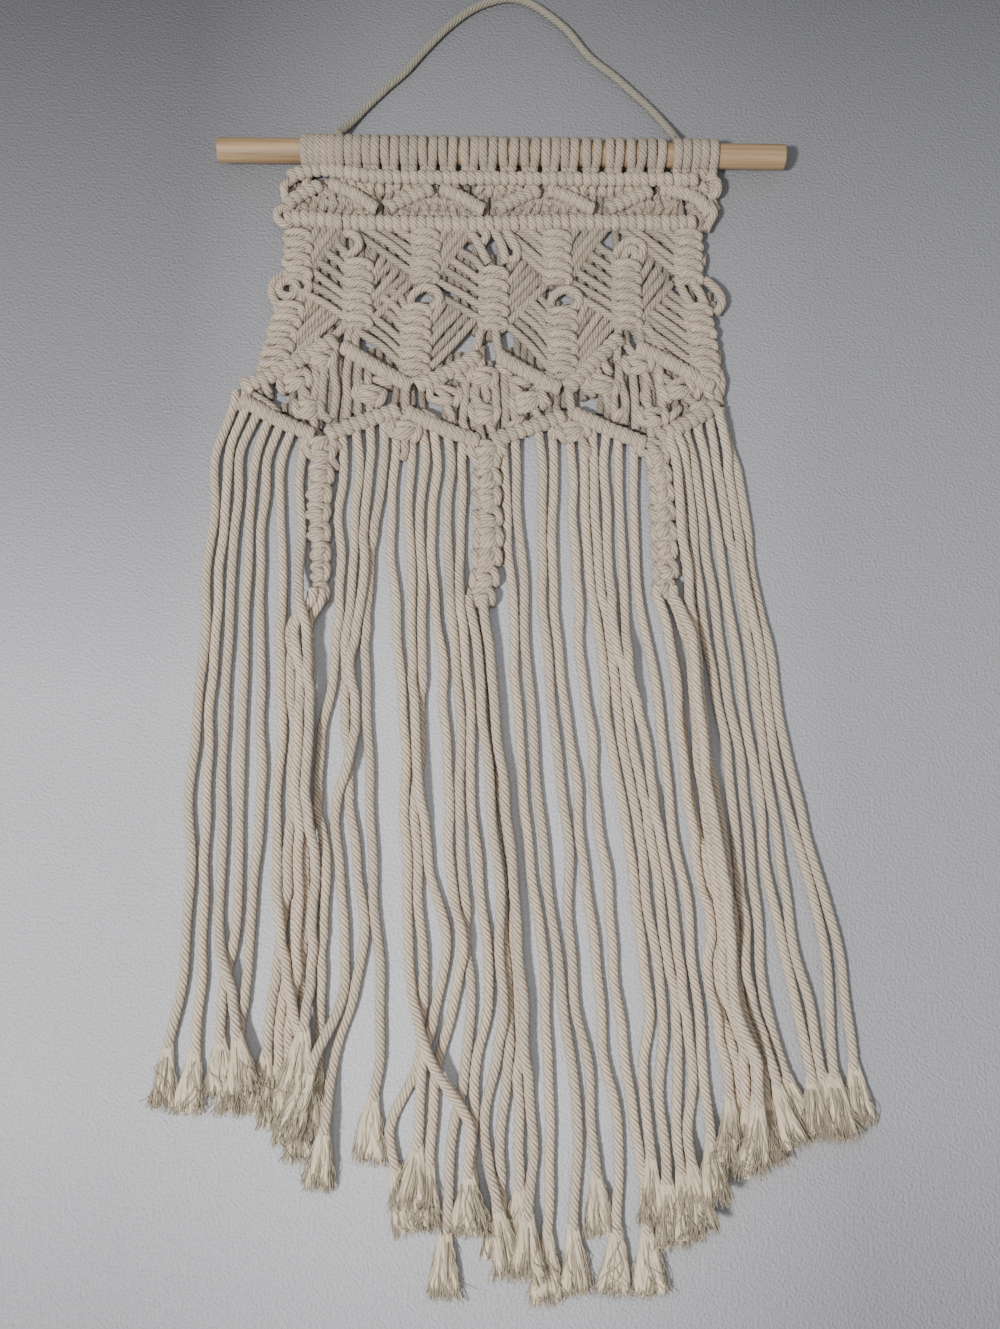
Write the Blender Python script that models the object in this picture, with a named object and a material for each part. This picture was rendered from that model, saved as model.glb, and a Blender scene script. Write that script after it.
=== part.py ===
"""Macrame wall hanging on a wooden dowel, lying face up on a flat surface.

The dowel lies along X. The hanging spreads from it towards -Y, and its hanging cord rises towards +Y.
Tables hold millimetres: x is measured from the dowel's middle, and drop from the dowel's axis towards
the fringe. The origin is at the bottom centre of the piece, measured without the hanging cord.
"""

import math

import bmesh
import bpy
from mathutils import Vector
from mathutils.geometry import interpolate_bezier

MM = 0.001
DOWEL_AT = (-0.0095, 0.2767)

CORD_DIAMETER = 5.0
GAP = 0.3

DOWEL_DIAMETER = 13.0
DOWEL_LENGTH = 305.0
DOWEL_CHAMFER = 0.6
DOWEL_SIDES = 32

HEADING_SIDES = 12
HEADING_FLATNESS = math.cos(math.pi / HEADING_SIDES)
HEADING_INSIDE = (DOWEL_DIAMETER / 2 + GAP) / HEADING_FLATNESS
HEADING_OUTSIDE = HEADING_INSIDE + CORD_DIAMETER
HEADING_VALLEY = 0.8
HEADING_TRIM = 0.2
HEADING_HEIGHT = HEADING_OUTSIDE * HEADING_FLATNESS - HEADING_TRIM
HEADING_MAIN = (-108.0, 88.0, 20)
HEADING_SHORT = (92.0, 117.0, 5)

PANEL_THICKNESS = 7.5
KNOT_HEIGHT = 10.5
SUNK = 1.5

TOOTH_WIDTH = 5.2
TOOTH_CROWN = 3.2
TOOTH_HEIGHT = 4.6
FRAY_WIDTH = 12.0
FRAY_LENGTH = 20.0
SPINE_DEPTH = 3.2
HEM_GAP = 0.45


# ---------------------------------------------------------------- tables, in millimetres

# Each side of the net from top to bottom: (x, drop).
LEFT_EDGE = [
    (-116, 12.0), (-118, 24), (-121, 35), (-116, 60), (-120, 74),
    (-120, 89), (-123, 106), (-128, 116), (-133, 126), (-138, 134),
]
RIGHT_EDGE = [
    (115, 12.0), (117, 24), (115, 36), (110, 55), (108, 68),
    (116, 82), (113, 97), (114, 112), (118, 127), (121, 137),
]
# The lower edge of the net, where the fringe begins: valleys at the sennits, peaks between them.
HEM = [(-137, 140), (-91, 166), (-49, 149), (-6, 168), (36, 152), (80, 166), (117, 147)]

# Hitched rows that stand up from the net: name, half width, height, (x, drop) of the bends.
BARS = [
    ("first_row", 4.5, 14.5, [(-114, 16.5), (113, 16.5)]),
    ("second_row", 4.8, 11.0, [(-117, 36), (-86, 39.5), (-7, 40.5), (112, 43)]),
    ("upper_zigzag", 4.2, 11.0, [
        (-134, 133), (-85, 106), (-46, 135), (-6, 114), (34, 134), (67, 103), (115, 133),
    ]),
    ("lower_zigzag", 4.2, 11.0, [
        (-134, 137), (-91, 160), (-49, 143.5), (-6, 162.5), (36, 146.5), (80, 160), (114, 142),
    ]),
]
# Columns of square knots: x and drop of both ends, knots in the column, half width.
COLUMNS = [
    (-40, 44, -40, 74, 4, 6.5), (31, 44, 31, 74, 4, 6.5),
    (-108, 44, -108, 66, 3, 6.0), (101, 46, 101, 71, 3, 6.0),
    (-75, 64, -75, 96, 4, 6.2), (-4, 64, -4, 99, 4, 6.2), (67, 62, 67, 96, 4, 6.2),
    (-43, 90, -43, 127, 4, 6.8), (33, 91, 33, 128, 4, 6.8),
    (-110, 86, -121, 124, 4, 6.0), (105, 84, 107, 126, 4, 6.5),
]
# Square knots tied on their own in the three diamonds: x, drop.
SINGLE_KNOTS = [
    (-86, 121), (-108, 137), (-69, 140), (-89, 149),
    (-8, 127), (-26, 139), (12, 139), (-7, 151),
    (74, 120), (60, 138), (95, 137), (79, 149),
]
# The largest gaps of the net: name, x, drop, width, height.
GAPS = [
    ("fan_gap_a", -17.0, 57.5, 5.6, 7.0),
    ("fan_gap_b", -4.0, 54.0, 6.6, 9.0),
    ("fan_gap_c", 55.5, 53.0, 8.5, 11.0),
    ("fan_gap_d", -28.0, 82.0, 5.6, 8.0),
    ("zigzag_gap_a", -66.0, 110.0, 6.0, 7.0),
    ("zigzag_gap_b", -18.0, 108.0, 5.6, 11.0),
    ("zigzag_gap_c", 8.0, 108.5, 7.0, 8.0),
    ("zigzag_gap_d", 53.0, 103.0, 5.6, 10.0),
    ("zigzag_gap_e", 82.0, 102.0, 7.5, 9.0),
    ("diamond_gap_a", -57.0, 142.0, 5.6, 6.0),
    ("diamond_gap_b", -35.0, 147.0, 5.6, 6.0),
    ("diamond_gap_c", 47.5, 144.5, 5.6, 6.0),
]
# Sennits: x, drop and half width down each one.
SENNITS = {
    "sennit_left": [(-90, 170, 5.5), (-91, 190, 5.6), (-91, 206, 5.2), (-89, 222, 4.5), (-88, 250, 3.8)],
    "sennit_centre": [(-6, 172, 5.6), (-5, 196, 5.6), (-4, 219, 6.2), (-5.5, 234, 6.0), (-8, 252, 5.4)],
    "sennit_right": [(82, 170, 4.2), (84, 188, 4.4), (84.5, 207, 5.0), (85, 234, 5.2), (84.5, 246, 5.0)],
}
SENNIT_KNOTS = 8

# Fringe cords that leave the hem: name, x at the hem, then x at each drop of FRINGE_DROPS, then the
# middle of the frayed tip. A cord that ends before a drop leaves that column unused.
FRINGE_DROPS = (170, 200, 240, 280, 320, 350, 380, 410, 440, 470, 500)
FRINGE = [
    ("a1", -136, -144, -144, -145, -144, -146, -146, -144, -143, -145, -150, -151, -151, 485),
    ("a2", -130, -138, -138, -139, -139, -139, -138, -137, -136, -135, -136, -137, -137, 487),
    ("a3", -124, -132, -132, -133, -132, -132, -130, -129, -128, -120, -112, -110, -110, 480),
    ("a4", -118, -124, -125, -125, -124, -123, -122, -121, -120, -125, -124, -123, -123, 482),
    ("a5", -112, -117, -119, -118, -116, -113, -112, -113, -113, -115, -116, -116, -116, 487),
    ("a6", -106, -110, -110, -107, -105, -103, -104, -102, -98, -92, -86, -82, -82, 484),
    ("a7", -99, -100, -100, -97, -92, -89, -89, -84, -84, -84, -86, -87, -87, 477),
    ("b1", -80, -79, -80, -78, -79, -84, -85, -79, -80, -79, -78, -78, -78, 495),
    ("b2", -73, -71, -72, -72, -74, -71, -69, -64, -60, -64, -72, -75, -77, 520),
    ("b3", -66, -65, -67, -66, -71, -68, -75, -73, -69, -69, -82, -90, -91, 495),
    ("b4", -59, -58, -61, -64, -64, -61, -59, -57, -54, -51, -51, -55, -56, 507),
    ("b5", -53, -52, -54, -51, -47, -43, -42, -40, -39, -36, -25, -8, -8, 538),
    ("b6", -46, -44, -45, -42, -41, -37, -35, -30, -21, -25, -30, -37, -35, 528),
    ("b7", -40, -37, -39, -37, -36, -36, -37, -36, -33, -31, -33, -45, -36, 537),
    ("b8", -33, -31, -33, -31, -26, -23, -21, -20, -14, -16, -24, -26, -28, 535),
    ("b9", -26, -24, -25, -23, -19, -16, -16, -14, -12, -9, -11, -16, -20, 563),
    ("b10", -18, -17, -18, -18, -14, -11, -10, -7, -2, -1, -6, -7, -8, 538),
    ("c1", 3, 4, 5, 8, 10, 13, 15, 19, 23, 26, 27, 28, 27, 565),
    ("c2", 9, 11, 11, 14, 16, 20, 22, 26, 30, 33, 39, 40, 39, 561),
    ("c3", 21, 23, 23, 24, 26, 31, 34, 37, 37, 39, 46, 47, 51, 538),
    ("c4", 28, 29, 28, 29, 32, 38, 41, 44, 48, 51, 54, 59, 58, 562),
    ("c5", 36, 38, 39, 41, 43, 48, 50, 54, 57, 59, 63, 68, 74, 562),
    ("c6", 43, 45, 45, 48, 54, 57, 63, 67, 70, 74, 71, 73, 74, 531),
    ("c7", 49, 49, 50, 53, 59, 63, 69, 72, 76, 80, 79, 79, 83, 541),
    ("c8", 56, 55, 56, 57, 62, 68, 74, 78, 82, 86, 87, 86, 90, 537),
    ("c9", 62, 62, 63, 64, 66, 74, 78, 83, 87, 90, 93, 91, 95, 533),
    ("c10", 70, 70, 70, 71, 75, 82, 85, 90, 94, 96, 99, 100, 101, 522),
    ("d1", 89, 91, 93, 95, 98, 101, 104, 108, 111, 114, 121, 123, 123, 505),
    ("d2", 94, 95, 98, 100, 100, 103, 108, 112, 115, 117, 126, 127, 127, 505),
    ("d3", 99, 101, 104, 107, 107, 113, 116, 117, 119, 121, 130, 138, 138, 500),
    ("d4", 104, 107, 109, 111, 113, 119, 122, 124, 126, 128, 136, 144, 144, 496),
    ("d5", 108, 113, 115, 116, 120, 125, 129, 131, 136, 143, 148, 151, 151, 496),
    ("d6", 111, 118, 120, 122, 128, 131, 135, 138, 142, 148, 153, 157, 157, 494),
    ("d7", 114, 122, 125, 129, 133, 136, 142, 150, 156, 158, 158, 159, 159, 495),
    ("d8", 116, 123, 124, 129, 136, 142, 148, 155, 162, 166, 164, 170, 170, 490),
]
# Cords that leave the sennits: name, x where the sennit ends, x at each drop of TAIL_DROPS, tip.
# TAIL_START is the drop just below each sennit, by the first letter of the cord's name.
TAIL_DROPS = (260, 280, 320, 350, 380, 410, 440, 470, 500)
TAIL_START = {"l": 253.5, "m": 255, "r": 249}
TAILS = [
    ("l1", -91, -100, -100, -97, -96, -97, -98, -101, -102, -105, -105, 488),
    ("l2", -90, -97, -96, -94, -93, -92, -90, -92, -92, -90, -90, 499),
    ("l3", -88, -95, -98, -95, -94, -94, -93, -96, -97, -98, -98, 494),
    ("l4", -87, -92, -92, -92, -91, -89, -87, -88, -89, -86, -86, 508),
    ("m1", -14, -11, -8, -4, -1, 3, 4, 6, 3, -2, 11, 553),
    ("m2", -6, -5, -2, 2, 6, 10, 12, 15, 17, 20, 17, 556),
    ("m3", -11, -9, -5, -1, 3, 6, 8, 11, 9, 7, 5, 548),
    ("m4", -9, -7, -4, 0, 4, 7, 9, 12, 13, 13, 14, 545),
    ("r1", 80, 82, 87, 92, 94, 99, 103, 103, 110, 111, 110, 505),
    ("r2", 87, 92, 95, 100, 104, 108, 111, 112, 122, 121, 120, 507),
    ("r3", 83, 86, 90, 95, 98, 103, 106, 107, 114, 115, 114, 509),
    ("r4", 85, 89, 93, 97, 101, 105, 108, 110, 118, 118, 117, 511),
]

# The hanging cord from the heading at the left, over its peak, to the heading at the right: (x, drop, z).
HANGING_CORD = [
    (-89.0, -12.6, 8.6), (-87.0, -16.5, 6.2), (-82.0, -24.5, 3.6), (-74.5, -34.5, 2.6),
    (-64.0, -46.5, 2.6), (-53.5, -57.5, 2.6), (-43.5, -71.0, 2.6), (-31.0, -86.0, 2.6),
    (-18.0, -97.5, 2.6), (-6.0, -103.5, 2.6), (4.0, -105.2, 2.6), (13.0, -103.0, 2.6),
    (22.5, -97.0, 2.6), (36.0, -84.5, 2.6), (48.0, -68.0, 2.6), (63.0, -54.5, 2.6),
    (79.0, -38.0, 2.6), (87.5, -27.0, 3.6), (93.0, -17.0, 6.2), (94.5, -12.3, 8.6),
]
HANGING_CORD_POINTS = 30


# ---------------------------------------------------------------- shapes

def place(x, drop, z):
    """A point in metres from a position in millimetres."""
    return Vector((DOWEL_AT[0] + x * MM, DOWEL_AT[1] - drop * MM, z * MM))


def material(name, colour, roughness):
    made = bpy.data.materials.new(name)
    made.use_nodes = True
    shader = made.node_tree.nodes["Principled BSDF"]
    shader.inputs["Base Color"].default_value = (*colour, 1.0)
    shader.inputs["Roughness"].default_value = roughness
    shader.inputs["Metallic"].default_value = 0.0
    return made


def new_object(name, mesh, finish, helper=False):
    made = bpy.data.objects.new(name, mesh)
    mesh.materials.append(finish)
    bpy.context.scene.collection.objects.link(made)
    if helper:
        made.hide_render = True
        made.display_type = "WIRE"
    return made


def mesh_from(name, points, faces):
    """A closed mesh with its faces turned outwards."""
    mesh = bpy.data.meshes.new(name)
    mesh.from_pydata(points, [], faces)
    shape = bmesh.new()
    shape.from_mesh(mesh)
    bmesh.ops.recalc_face_normals(shape, faces=shape.faces)
    shape.to_mesh(mesh)
    shape.free()
    mesh.shade_smooth()
    mesh.set_sharp_from_angle(angle=math.radians(50))
    return mesh


def loft(name, rings):
    """One skin through rings that have the same number of points, closed by a cap at each end."""
    sides = len(rings[0])
    points = [point for ring in rings for point in ring]
    faces = [tuple(range(sides)), tuple(range(len(points) - sides, len(points)))]
    for k in range(len(rings) - 1):
        for i in range(sides):
            j = (i + 1) % sides
            faces.append((k * sides + i, k * sides + j, (k + 1) * sides + j, (k + 1) * sides + i))
    return mesh_from(name, points, faces)


def side_direction(route, k):
    """The unit direction across a route at its point k, in the XY plane."""
    before = Vector(route[max(k - 1, 0)][:2])
    after = Vector(route[min(k + 1, len(route) - 1)][:2])
    along = (after - before).normalized()
    return Vector((-along.y, along.x))


def ridge(name, route, bottom, shouldered=True):
    """A low ridge with sloping sides. The route has x, drop, foot half width, crown half width, top."""
    rings = []
    for k, (x, drop, foot, crown, top) in enumerate(route):
        side = side_direction(route, k)
        ring = [(-foot, bottom), (-crown, top), (crown, top), (foot, bottom)]
        if shouldered:
            shoulder = top - (foot - crown)
            ring[1:1] = [(-foot, shoulder)]
            ring[-1:-1] = [(foot, shoulder)]
        rings.append([place(x + side.x * across, drop + side.y * across, z) for across, z in ring])
    return loft(name, rings)


def slab(name, outline, bottom, top):
    """A flat plate with an outline of (x, drop)."""
    rings = [[place(x, drop, z) for x, drop in outline] for z in (bottom, top)]
    return loft(name, rings)


def block(name, low, high):
    (x0, drop0, z0), (x1, drop1, z1) = low, high
    return slab(name, [(x0, drop0), (x1, drop0), (x1, drop1), (x0, drop1)], z0, z1)


def boolean(target, label, operation, meshes, finish, solver="EXACT"):
    """Joins the meshes to the target, or cuts them from it."""
    group = bpy.data.collections.new(target.name + "_" + label)
    bpy.context.scene.collection.children.link(group)
    for mesh in meshes:
        helper = new_object(mesh.name, mesh, finish, helper=True)
        bpy.context.scene.collection.objects.unlink(helper)
        group.objects.link(helper)
    modifier = target.modifiers.new(label, "BOOLEAN")
    modifier.operation = operation
    modifier.operand_type = "COLLECTION"
    modifier.collection = group
    modifier.solver = solver


def below_surface(name):
    """A block under z = 0 that trims a piece flat where it rests."""
    return block(name + "_floor", (-220, -140, -30), (240, 620, 0))


# ---------------------------------------------------------------- pieces

def make_dowel(finish):
    shape = bmesh.new()
    bmesh.ops.create_cone(
        shape, cap_ends=True, segments=DOWEL_SIDES, radius1=DOWEL_DIAMETER / 2 * MM,
        radius2=DOWEL_DIAMETER / 2 * MM, depth=DOWEL_LENGTH * MM,
    )
    for vert in shape.verts:
        vert.co = Vector((vert.co.z, vert.co.x, vert.co.y))
    bmesh.ops.recalc_face_normals(shape, faces=shape.faces)
    mesh = bpy.data.meshes.new("dowel")
    shape.to_mesh(mesh)
    shape.free()
    mesh.shade_smooth()
    mesh.set_sharp_from_angle(angle=math.radians(50))
    dowel = new_object("dowel", mesh, finish)
    dowel.location = place(0, 0, HEADING_HEIGHT)
    chamfer = dowel.modifiers.new("chamfer", "BEVEL")
    chamfer.width = DOWEL_CHAMFER * MM
    chamfer.segments = 1
    chamfer.limit_method = "ANGLE"


def make_heading(name, run, finish):
    """Cord loops side by side on the dowel: a ribbed sleeve, flat where it rests."""
    start, end, loops = run
    pitch = (end - start) / loops
    profile = [(start, HEADING_INSIDE)]
    for k in range(loops):
        profile.append((start + k * pitch, HEADING_OUTSIDE - HEADING_VALLEY))
        profile.append((start + (k + 0.5) * pitch, HEADING_OUTSIDE))
    profile += [(end, HEADING_OUTSIDE - HEADING_VALLEY), (end, HEADING_INSIDE)]
    points, faces = [], []
    for side in range(HEADING_SIDES):
        turn = 2 * math.pi * (side + 0.5) / HEADING_SIDES
        for x, radius in profile:
            points.append(place(x, radius * math.sin(turn), HEADING_HEIGHT + radius * math.cos(turn)))
    count = len(profile)
    for side in range(HEADING_SIDES):
        after = (side + 1) % HEADING_SIDES
        for k in range(count):
            step = (k + 1) % count
            faces.append((side * count + k, side * count + step, after * count + step, after * count + k))
    sleeve = new_object(name, mesh_from(name, points, faces), finish)
    boolean(sleeve, "rest", "DIFFERENCE", [below_surface(name)], finish)


def knot_ridge(name, x0, drop0, x1, drop1, knots, half_width):
    """A column of square knots: a ridge that swells once for each knot."""
    route = []
    for k in range(2 * knots + 1):
        share = k / (2 * knots)
        swell = 1.0 if k % 2 else 0.82
        foot = half_width * swell
        top = KNOT_HEIGHT - 1.6 * (1.0 - swell) / 0.18
        route.append((x0 + (x1 - x0) * share, drop0 + (drop1 - drop0) * share, foot, foot * 0.6, top))
    return ridge(name, route, SUNK)


def panel_outline():
    return LEFT_EDGE + HEM + RIGHT_EDGE[::-1]


def make_panel(finish):
    """The net: its outer form, its raised rows and knots, and its largest gaps."""
    panel = new_object("knotted_panel", slab("panel", panel_outline(), -1.0, PANEL_THICKNESS), finish)
    raised = []
    for name, half_width, height, bends in BARS:
        route = [(x, drop, half_width, half_width * 0.6, height) for x, drop in bends]
        raised.append(ridge(name, route, SUNK))
    for k, column in enumerate(COLUMNS):
        raised.append(knot_ridge(f"column_{k}", *column))
    for k, (x, drop) in enumerate(SINGLE_KNOTS):
        raised.append(knot_ridge(f"single_{k}", x, drop - 4.5, x, drop + 4.5, 1, 5.6))
    boolean(panel, "raised", "UNION", raised, finish)
    cutters = [below_surface("panel")]
    for name, x, drop, width, height in GAPS:
        low = (x - width / 2, drop - height / 2, -5)
        high = (x + width / 2, drop + height / 2, 20)
        cutters.append(block(name, low, high))
    boolean(panel, "gaps", "DIFFERENCE", cutters, finish)


def make_sennit(name, rows, finish):
    """A braid of square knots: a ridge that swells once for each knot, flat underneath."""
    route = []
    steps = 2 * SENNIT_KNOTS
    for k in range(steps + 1):
        drop = rows[0][1] + (rows[-1][1] - rows[0][1]) * k / steps
        x, half_width = between(rows, drop)
        foot = half_width * (1.0 if k % 2 else 0.84)
        route.append((x, drop, foot, foot * 0.55, KNOT_HEIGHT - (0.0 if k % 2 else 1.4)))
    new_object(name, ridge(name, route, 0.0), finish)


def between(rows, drop):
    """x and half width at a drop, read along straight lines between table rows."""
    for (x0, drop0, half0), (x1, drop1, half1) in zip(rows, rows[1:]):
        if drop <= drop1:
            share = (drop - drop0) / (drop1 - drop0)
            return x0 + (x1 - x0) * share, half0 + (half1 - half0) * share
    return rows[-1][0], rows[-1][2]


def hem_drop(x):
    """Drop of the net's lower edge at x."""
    for (x0, drop0), (x1, drop1) in zip(HEM, HEM[1:]):
        if x <= x1:
            return drop0 + (drop1 - drop0) * (x - x0) / (x1 - x0)
    return HEM[-1][1]


def cord_route(start_x, start_drop, drops, columns, tip):
    """(x, drop) down one fringe cord, from where it starts to the end of its frayed tip."""
    route = [(start_x, start_drop)]
    for x, drop in zip(columns, drops):
        if start_drop + 4 < drop < tip[1] - FRAY_LENGTH - 4:
            route.append((x, drop))
    last = Vector(route[-1])
    to_tip = Vector(tip) - last
    fray_start = Vector(tip) - to_tip.normalized() * FRAY_LENGTH
    return route + [tuple(fray_start), tuple(tip)]


def tooth(name, route, index):
    """One cord of the comb, a little deeper than its neighbour below the surface it is trimmed at."""
    rows = [(x, drop, TOOTH_WIDTH / 2, TOOTH_CROWN / 2, TOOTH_HEIGHT + 0.01 * (index % 7)) for x, drop in route]
    x, drop, foot, crown, top = rows[-1]
    rows[-1] = (x, drop, FRAY_WIDTH / 2, FRAY_WIDTH / 2 - 1.0, top - 0.6)
    return ridge(name, rows, -0.5 - 0.02 * index, shouldered=False)


def make_fringe(finish):
    """Every loose cord as one comb on a spine that follows the hem."""
    upper = [(x, drop + HEM_GAP) for x, drop in HEM]
    lower = [(x, drop + HEM_GAP + SPINE_DEPTH) for x, drop in HEM]
    fringe = new_object("fringe", slab("fringe", upper + lower[::-1], -0.4, 4.2), finish)
    teeth = []
    for name, start_x, *columns, tip_x, tip_drop in FRINGE:
        start_drop = hem_drop(start_x) + HEM_GAP + SPINE_DEPTH / 2
        route = cord_route(start_x, start_drop, FRINGE_DROPS, columns, (tip_x, tip_drop))
        teeth.append(tooth("cord_" + name, route, len(teeth)))
    for name, start_x, *columns, tip_x, tip_drop in TAILS:
        start_drop = TAIL_START[name[0]]
        route = cord_route(start_x, start_drop, TAIL_DROPS, columns, (tip_x, tip_drop))
        teeth.append(tooth("cord_" + name, route, len(teeth)))
    boolean(fringe, "cords", "UNION", teeth, finish, solver="MANIFOLD")
    boolean(fringe, "rest", "DIFFERENCE", [below_surface("fringe")], finish, solver="MANIFOLD")


def smooth_route(points, count):
    """Evenly shared points on a smooth curve through the route's own points."""
    corners = [place(*point) for point in points]
    curve = []
    for k in range(len(corners) - 1):
        before = corners[max(k - 1, 0)]
        after = corners[min(k + 2, len(corners) - 1)]
        start, end = corners[k], corners[k + 1]
        handle_out = start + (end - before) / 6
        handle_in = end - (after - start) / 6
        curve += interpolate_bezier(start, handle_out, handle_in, end, 12)[:-1]
    curve.append(corners[-1])
    lengths = [0.0]
    for a, b in zip(curve, curve[1:]):
        lengths.append(lengths[-1] + (b - a).length)
    spaced, k = [], 0
    for n in range(count):
        target = lengths[-1] * n / (count - 1)
        while k < len(curve) - 2 and lengths[k + 1] < target:
            k += 1
        share = (target - lengths[k]) / (lengths[k + 1] - lengths[k])
        spaced.append(curve[k].lerp(curve[k + 1], min(share, 1.0)))
    return spaced


def make_hanging_cord(finish):
    curve = bpy.data.curves.new("hanging_cord", "CURVE")
    curve.dimensions = "3D"
    curve.bevel_depth = CORD_DIAMETER / 2 * MM
    curve.bevel_resolution = 2
    curve.use_fill_caps = True
    spline = curve.splines.new("POLY")
    points = smooth_route(HANGING_CORD, HANGING_CORD_POINTS)
    spline.points.add(len(points) - 1)
    for point, spot in zip(spline.points, points):
        point.co = (*spot, 1.0)
    spline.use_smooth = True
    cord = bpy.data.objects.new("hanging_cord", curve)
    curve.materials.append(finish)
    bpy.context.scene.collection.objects.link(cord)


def main():
    for old in list(bpy.data.objects):
        bpy.data.objects.remove(old, do_unlink=True)
    wood = material("dowel_wood", (0.42, 0.26, 0.14), 0.5)
    heading_cord = material("heading_cord", (0.56, 0.49, 0.40), 0.9)
    panel_cord = material("panel_cord", (0.56, 0.49, 0.40), 0.9)
    sennit_cord = material("sennit_cord", (0.56, 0.48, 0.39), 0.9)
    fringe_cord = material("fringe_cord", (0.58, 0.50, 0.40), 0.9)
    loop_cord = material("loop_cord", (0.57, 0.50, 0.41), 0.9)
    make_dowel(wood)
    make_heading("heading_main", HEADING_MAIN, heading_cord)
    make_heading("heading_short", HEADING_SHORT, heading_cord)
    make_panel(panel_cord)
    for name, rows in SENNITS.items():
        make_sennit(name, rows, sennit_cord)
    make_fringe(fringe_cord)
    make_hanging_cord(loop_cord)


main()
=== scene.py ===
# %% [markdown]
# # A macrame wall hanging, knotted from one kind of cord
# The real piece is made by hand. About thirty metres of three-ply cotton cord are hitched to a wooden
# dowel, tied into a net of hitches and square knots, braided into three short sennits, and left loose
# as a long fringe whose ends are combed out. So nearly everything here is the same cord, laid along
# many routes. The plan is to write the routes in Python, as short lists of places in millimetres, and
# to let one Geometry Nodes tree lay the twisted cord along them.

# %% Load the frame
import math
import random

import bpy
import numpy as np
from mathutils import Matrix, Vector


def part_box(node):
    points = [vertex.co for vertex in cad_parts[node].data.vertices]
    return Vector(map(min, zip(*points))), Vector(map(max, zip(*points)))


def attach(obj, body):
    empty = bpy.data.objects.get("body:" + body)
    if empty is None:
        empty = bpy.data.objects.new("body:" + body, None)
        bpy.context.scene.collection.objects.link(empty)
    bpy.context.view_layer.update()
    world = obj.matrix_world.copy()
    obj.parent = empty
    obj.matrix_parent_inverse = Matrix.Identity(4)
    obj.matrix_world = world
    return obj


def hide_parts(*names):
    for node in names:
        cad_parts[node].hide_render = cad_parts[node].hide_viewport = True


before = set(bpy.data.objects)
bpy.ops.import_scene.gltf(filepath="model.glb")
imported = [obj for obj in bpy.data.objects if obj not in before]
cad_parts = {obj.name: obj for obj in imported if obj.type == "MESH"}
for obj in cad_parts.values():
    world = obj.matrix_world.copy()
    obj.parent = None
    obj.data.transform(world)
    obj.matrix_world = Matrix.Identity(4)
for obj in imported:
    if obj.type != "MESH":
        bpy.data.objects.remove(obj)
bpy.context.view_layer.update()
print("nodes:", sorted(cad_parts))

# %% [markdown]
# ## Places
# The frame is in metres, with the dowel along X and the fringe towards -Y. A knotter measures from the
# dowel instead, so each place below is (x, drop, z) in millimetres: x from the dowel's middle, drop
# from its axis down towards the fringe, and z up from the surface that the piece lies on.

# %% Places measured from the dowel
MM = 0.001
low_corner, high_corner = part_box("dowel")
DOWEL = [(low + high) / 2 for low, high in zip(low_corner, high_corner)]
DOWEL_RADIUS = (high_corner.z - low_corner.z) / 2 / MM
AXIS_HEIGHT = DOWEL[2] / MM
CORD_WIDTH = 5.0


def in_metres(places):
    """Places in millimetres, as an array of points in the frame."""
    places = np.atleast_2d(np.asarray(places, float))
    x, drop, z = places.T
    return np.stack([DOWEL[0] + x * MM, DOWEL[1] - drop * MM, z * MM], axis=1)


print("dowel middle:", [round(value, 4) for value in DOWEL], "radius", round(DOWEL_RADIUS, 2), "mm")

# %% [markdown]
# ## Camera
# The camera looks down at the piece as it lies, from below its middle, tipped 13 degrees towards the
# dowel. It comes first because the hanging cord has to lie in its view.

# %% Camera
CAMERA_AT = (2.6, 419.5, 605.4)
CAMERA_TIP = math.radians(13.0)
CAMERA_ROLL = math.radians(0.71)
HALF_VIEW = 0.5316  # half the height of what it sees, for each unit of distance
VIEW_ANGLE = 2 * math.atan(HALF_VIEW)


def put_in_scene(name, data):
    """A new object at the origin that shows this data."""
    made = bpy.data.objects.new(name, data)
    bpy.context.scene.collection.objects.link(made)
    return made


camera_data = bpy.data.cameras.new("camera")
camera_data.sensor_fit = "VERTICAL"
camera_data.angle_y = VIEW_ANGLE
camera_data.clip_start = 0.01
camera = put_in_scene("camera", camera_data)
camera.location = in_metres(CAMERA_AT)[0]
camera.rotation_mode = "XYZ"
camera.rotation_euler = (CAMERA_TIP, 0.0, 0.0)
bpy.context.scene.camera = camera
bpy.context.view_layer.update()
camera.matrix_world = camera.matrix_world @ Matrix.Rotation(CAMERA_ROLL, 4, "Z")
print("view angle:", round(math.degrees(VIEW_ANGLE), 1), "degrees")

# %% [markdown]
# ## Routes
# A cord never turns a sharp corner, so each route is a smooth curve through a few places. A Catmull-Rom
# curve passes through its points, which makes it easy to place. The cords that end up in one piece are
# collected as one set of routes, with its own fixed seed for what is left to chance.


# %% Smooth routes
def smooth(points, between=6):
    """A Catmull-Rom curve through the points, with this many steps between neighbours."""
    points = np.asarray(points, float)
    if len(points) < 3:
        return np.linspace(points[0], points[-1], between + 1)
    padded = np.vstack([2 * points[0] - points[1], points, 2 * points[-1] - points[-2]])
    line = []
    for before, start, end, after in zip(padded, padded[1:], padded[2:], padded[3:]):
        for share in np.arange(between) / between:
            line.append(
                start + 0.5 * share * (end - before)
                + share**2 * (before - 2.5 * start + 2 * end - 0.5 * after)
                + share**3 * (1.5 * (start - end) + 0.5 * (after - before))
            )
    line.append(points[-1])
    return np.array(line)


def length_of(line):
    return float(np.linalg.norm(np.diff(line, axis=0), axis=1).sum())


FULL_TURN = 6.28


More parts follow.
